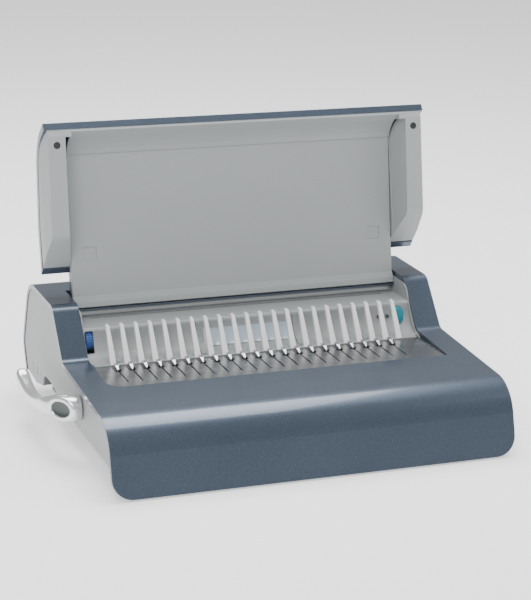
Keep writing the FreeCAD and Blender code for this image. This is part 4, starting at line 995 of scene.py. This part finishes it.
@dataclass
class Controls:
    """The size wheel and its edge guide, the punch button and the two lamps."""

    def make(self) -> None:
        """Dress the controls."""
        dress("guide_wheel", Finishes.WHEEL)
        dress("guide_screw", Finishes.ZINC)
        dress("edge_guide", Finishes.GUIDE)
        dress("punch_button", Finishes.BUTTON)
        dress("switch_board", Finishes.SWITCH_BOARD)
        dress("lamp_red", Finishes.RED_LENS)
        dress("lamp_green", Finishes.GREEN_LENS)
        dress("chip_drawer", Finishes.BAY)


@dataclass
class RearPanel:
    """The dark panel at the back, with its socket contacts and the marks of the power switch."""

    contacts: tuple[tuple[float, float], ...] = ((-134.9, 43.0), (-129.9, 47.0), (-124.9, 43.0))
    contact_y: float = 155.3
    contact_half: Point = (1.12 * MM, 4.0 * MM, 2.12 * MM)
    rocker_face: tuple[tuple[float, float], ...] = ((38.0, 164.8), (45.0, 162.8), (51.0, 165.8))
    mark_lift: float = 0.05

    def make(self) -> None:
        """Dress the panel and add the bright contacts and the switch's marks."""
        for node in ("rear_panel", "mains_inlet", "switch_frame", "power_rocker"):
            dress(node, Finishes.BLACK)
        blades = Piece("inlet_contacts", Body.MACHINE, "hook_steel", Finishes.HOOK)
        for x, z in self.contacts:
            middle = (x * MM, self.contact_y * MM, z * MM)
            blades.loft(rounded_box_rings(middle, self.contact_half, 0.4 * MM, Axis.Y, 0.3 * MM))
        blades.make()
        self.switch_marks()

    def switch_marks(self) -> None:
        """A bar on one end of the rocker and a ring on the other."""
        low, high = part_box("power_rocker")
        x = (low[0] + high[0]) / 2
        marks = Piece("switch_marks", Body.ROCKER, "guide_grey", Finishes.MARK)
        lower, middle, upper = self.rocker_face

        def on_face(start: tuple[float, float], stop: tuple[float, float]) -> tuple[Vector, Vector]:
            """The middle of a slope of the rocker and the way the slope runs."""
            first, last = (Vector((x, y * MM, z * MM)) for z, y in (start, stop))
            return first.lerp(last, 0.5), (last - first).normalized()

        for start, stop, ring_mark in ((lower, middle, True), (middle, upper, False)):
            spot, run = on_face(start, stop)
            out = run.cross(Vector((1, 0, 0))).normalized()
            if out.y < 0:
                out = -out
            across = Vector((1, 0, 0))
            if ring_mark:
                self.ring(marks, spot, across, run, out)
            else:
                corners = [(-0.35, -1.6), (0.35, -1.6), (0.35, 1.6), (-0.35, 1.6)]
                marks.loft([[tuple(spot + across * (a * MM) + run * (b * MM) + out * (h * MM))
                             for a, b in corners] for h in (-self.mark_lift, self.mark_lift)])
        marks.make()

    def ring(self, marks: Piece, spot: Vector, across: Vector, run: Vector, out: Vector) -> None:
        """Add a flat ring.

        Args:
            marks: The piece it joins.
            spot: Its middle.
            across: One way in its plane.
            run: The other way in its plane.
            out: The way it faces.
        """
        rings = []
        lift = self.mark_lift
        for radius, height in ((1.0, -lift), (1.6, -lift), (1.6, lift), (1.0, lift), (1.0, -lift)):
            ring = []
            for step in range(28):
                angle = 2 * math.pi * step / 28
                place = spot + across * (radius * MM * math.cos(angle))
                place += run * (radius * MM * math.sin(angle)) + out * (height * MM)
                ring.append(tuple(place))
            rings.append(ring)
        marks.loft(rings, start=False, stop=False)


# ---------------------------------------------------------------- studio


@dataclass(frozen=True)
class SoftLight:
    """A square soft light that faces the machine."""

    name: str
    place: Point
    size: float
    power: float
    colour: Colour = (1.0, 1.0, 1.0)

    def make(self) -> None:
        """Hang the light."""
        lamp = bpy.data.lights.new(self.name, "AREA")
        lamp.shape = "SQUARE"
        lamp.size = self.size
        lamp.energy = self.power
        lamp.color = self.colour
        holder = bpy.data.objects.new(self.name, lamp)
        holder.location = self.place
        aim = Vector((0, 0, 0.08)) - Vector(self.place)
        holder.rotation_euler = aim.to_track_quat("-Z", "Y").to_euler()
        bpy.context.scene.collection.objects.link(holder)
        log.info("light %s: %.0f W", self.name, self.power)


@dataclass
class Studio:
    """The pale floor, the soft lights and the camera."""

    floor_half: float = 6.0
    floor_glow: float = 0.7
    sky_strength: float = 0.42
    lights: tuple[SoftLight, ...] = (
        SoftLight("key_light", (-0.9, -1.5, 1.5), 1.0, 24.0),
        SoftLight("fill_light", (1.7, -0.6, 1.3), 1.2, 10.0),
        SoftLight("top_light", (0.1, 0.55, 1.9), 1.5, 62.0))
    camera_place: Point = (-0.6224, -1.7461, 0.6675)
    azimuth: float = -20.22
    elevation: float = 16.28
    roll: float = 1.0
    lens: float = 118.4

    def make(self) -> None:
        """Set up the studio."""
        self.floor()
        self.sky()
        for light in self.lights:
            light.make()
        self.camera()

    def floor(self) -> None:
        """A plain pale floor."""
        recipe = Recipe("studio_floor")
        recipe.set(Base_Color=recipe.tinted((0.86, 0.86, 0.86), 0.01, recipe.noise(0.4, 2.0)), Roughness=0.85,
                   Emission_Color=(1.0, 1.0, 1.0), Emission_Strength=self.floor_glow)
        half = self.floor_half
        mesh = bpy.data.meshes.new("studio_floor")
        mesh.from_pydata([(-half, -half, 0), (half, -half, 0), (half, half, 0), (-half, half, 0)], [],
                         [(0, 1, 2, 3)])
        mesh.materials.append(recipe.material)
        ground = bpy.data.objects.new("studio_floor", mesh)
        bpy.context.scene.collection.objects.link(ground)

    def sky(self) -> None:
        """An even pale surround."""
        world = bpy.data.worlds.new("studio_sky")
        world.use_nodes = True
        surround = world.node_tree.nodes["Background"]
        surround.inputs["Color"].default_value = (0.97, 0.985, 1.0, 1.0)
        surround.inputs["Strength"].default_value = self.sky_strength
        bpy.context.scene.world = world

    def camera(self) -> None:
        """The camera, level with a small roll."""
        turn, lift, roll = (math.radians(a) for a in (self.azimuth, self.elevation, self.roll))
        back = Vector((math.sin(turn) * math.cos(lift), -math.cos(turn) * math.cos(lift), math.sin(lift)))
        right = Vector((math.cos(turn), math.sin(turn), 0))
        up = back.cross(right)
        rolled_right = right * math.cos(roll) + up * math.sin(roll)
        rolled_up = up * math.cos(roll) - right * math.sin(roll)
        lens = bpy.data.cameras.new("studio_camera")
        lens.lens = self.lens
        lens.sensor_width = 36.0
        lens.sensor_fit = "AUTO"
        lens.clip_start = 0.01
        lens.clip_end = 50.0
        holder = bpy.data.objects.new("studio_camera", lens)
        facing = Matrix((rolled_right, rolled_up, back)).transposed().to_4x4()
        holder.matrix_world = Matrix.Translation(Vector(self.camera_place)) @ facing
        bpy.context.scene.collection.objects.link(holder)
        bpy.context.scene.camera = holder
        log.info("camera at %s", self.camera_place)


def main() -> None:
    """Build the machine's looks and the studio."""
    logging.basicConfig(level=logging.INFO, format="%(name)s: %(message)s")
    for assembly in (Studio(), Casing(), CombBay(), Lid(), Lever(), PunchUnit(), Controls(), RearPanel()):
        assembly.make()
        log.info("%s done", type(assembly).__name__)


if __name__ == "__main__":
    main()
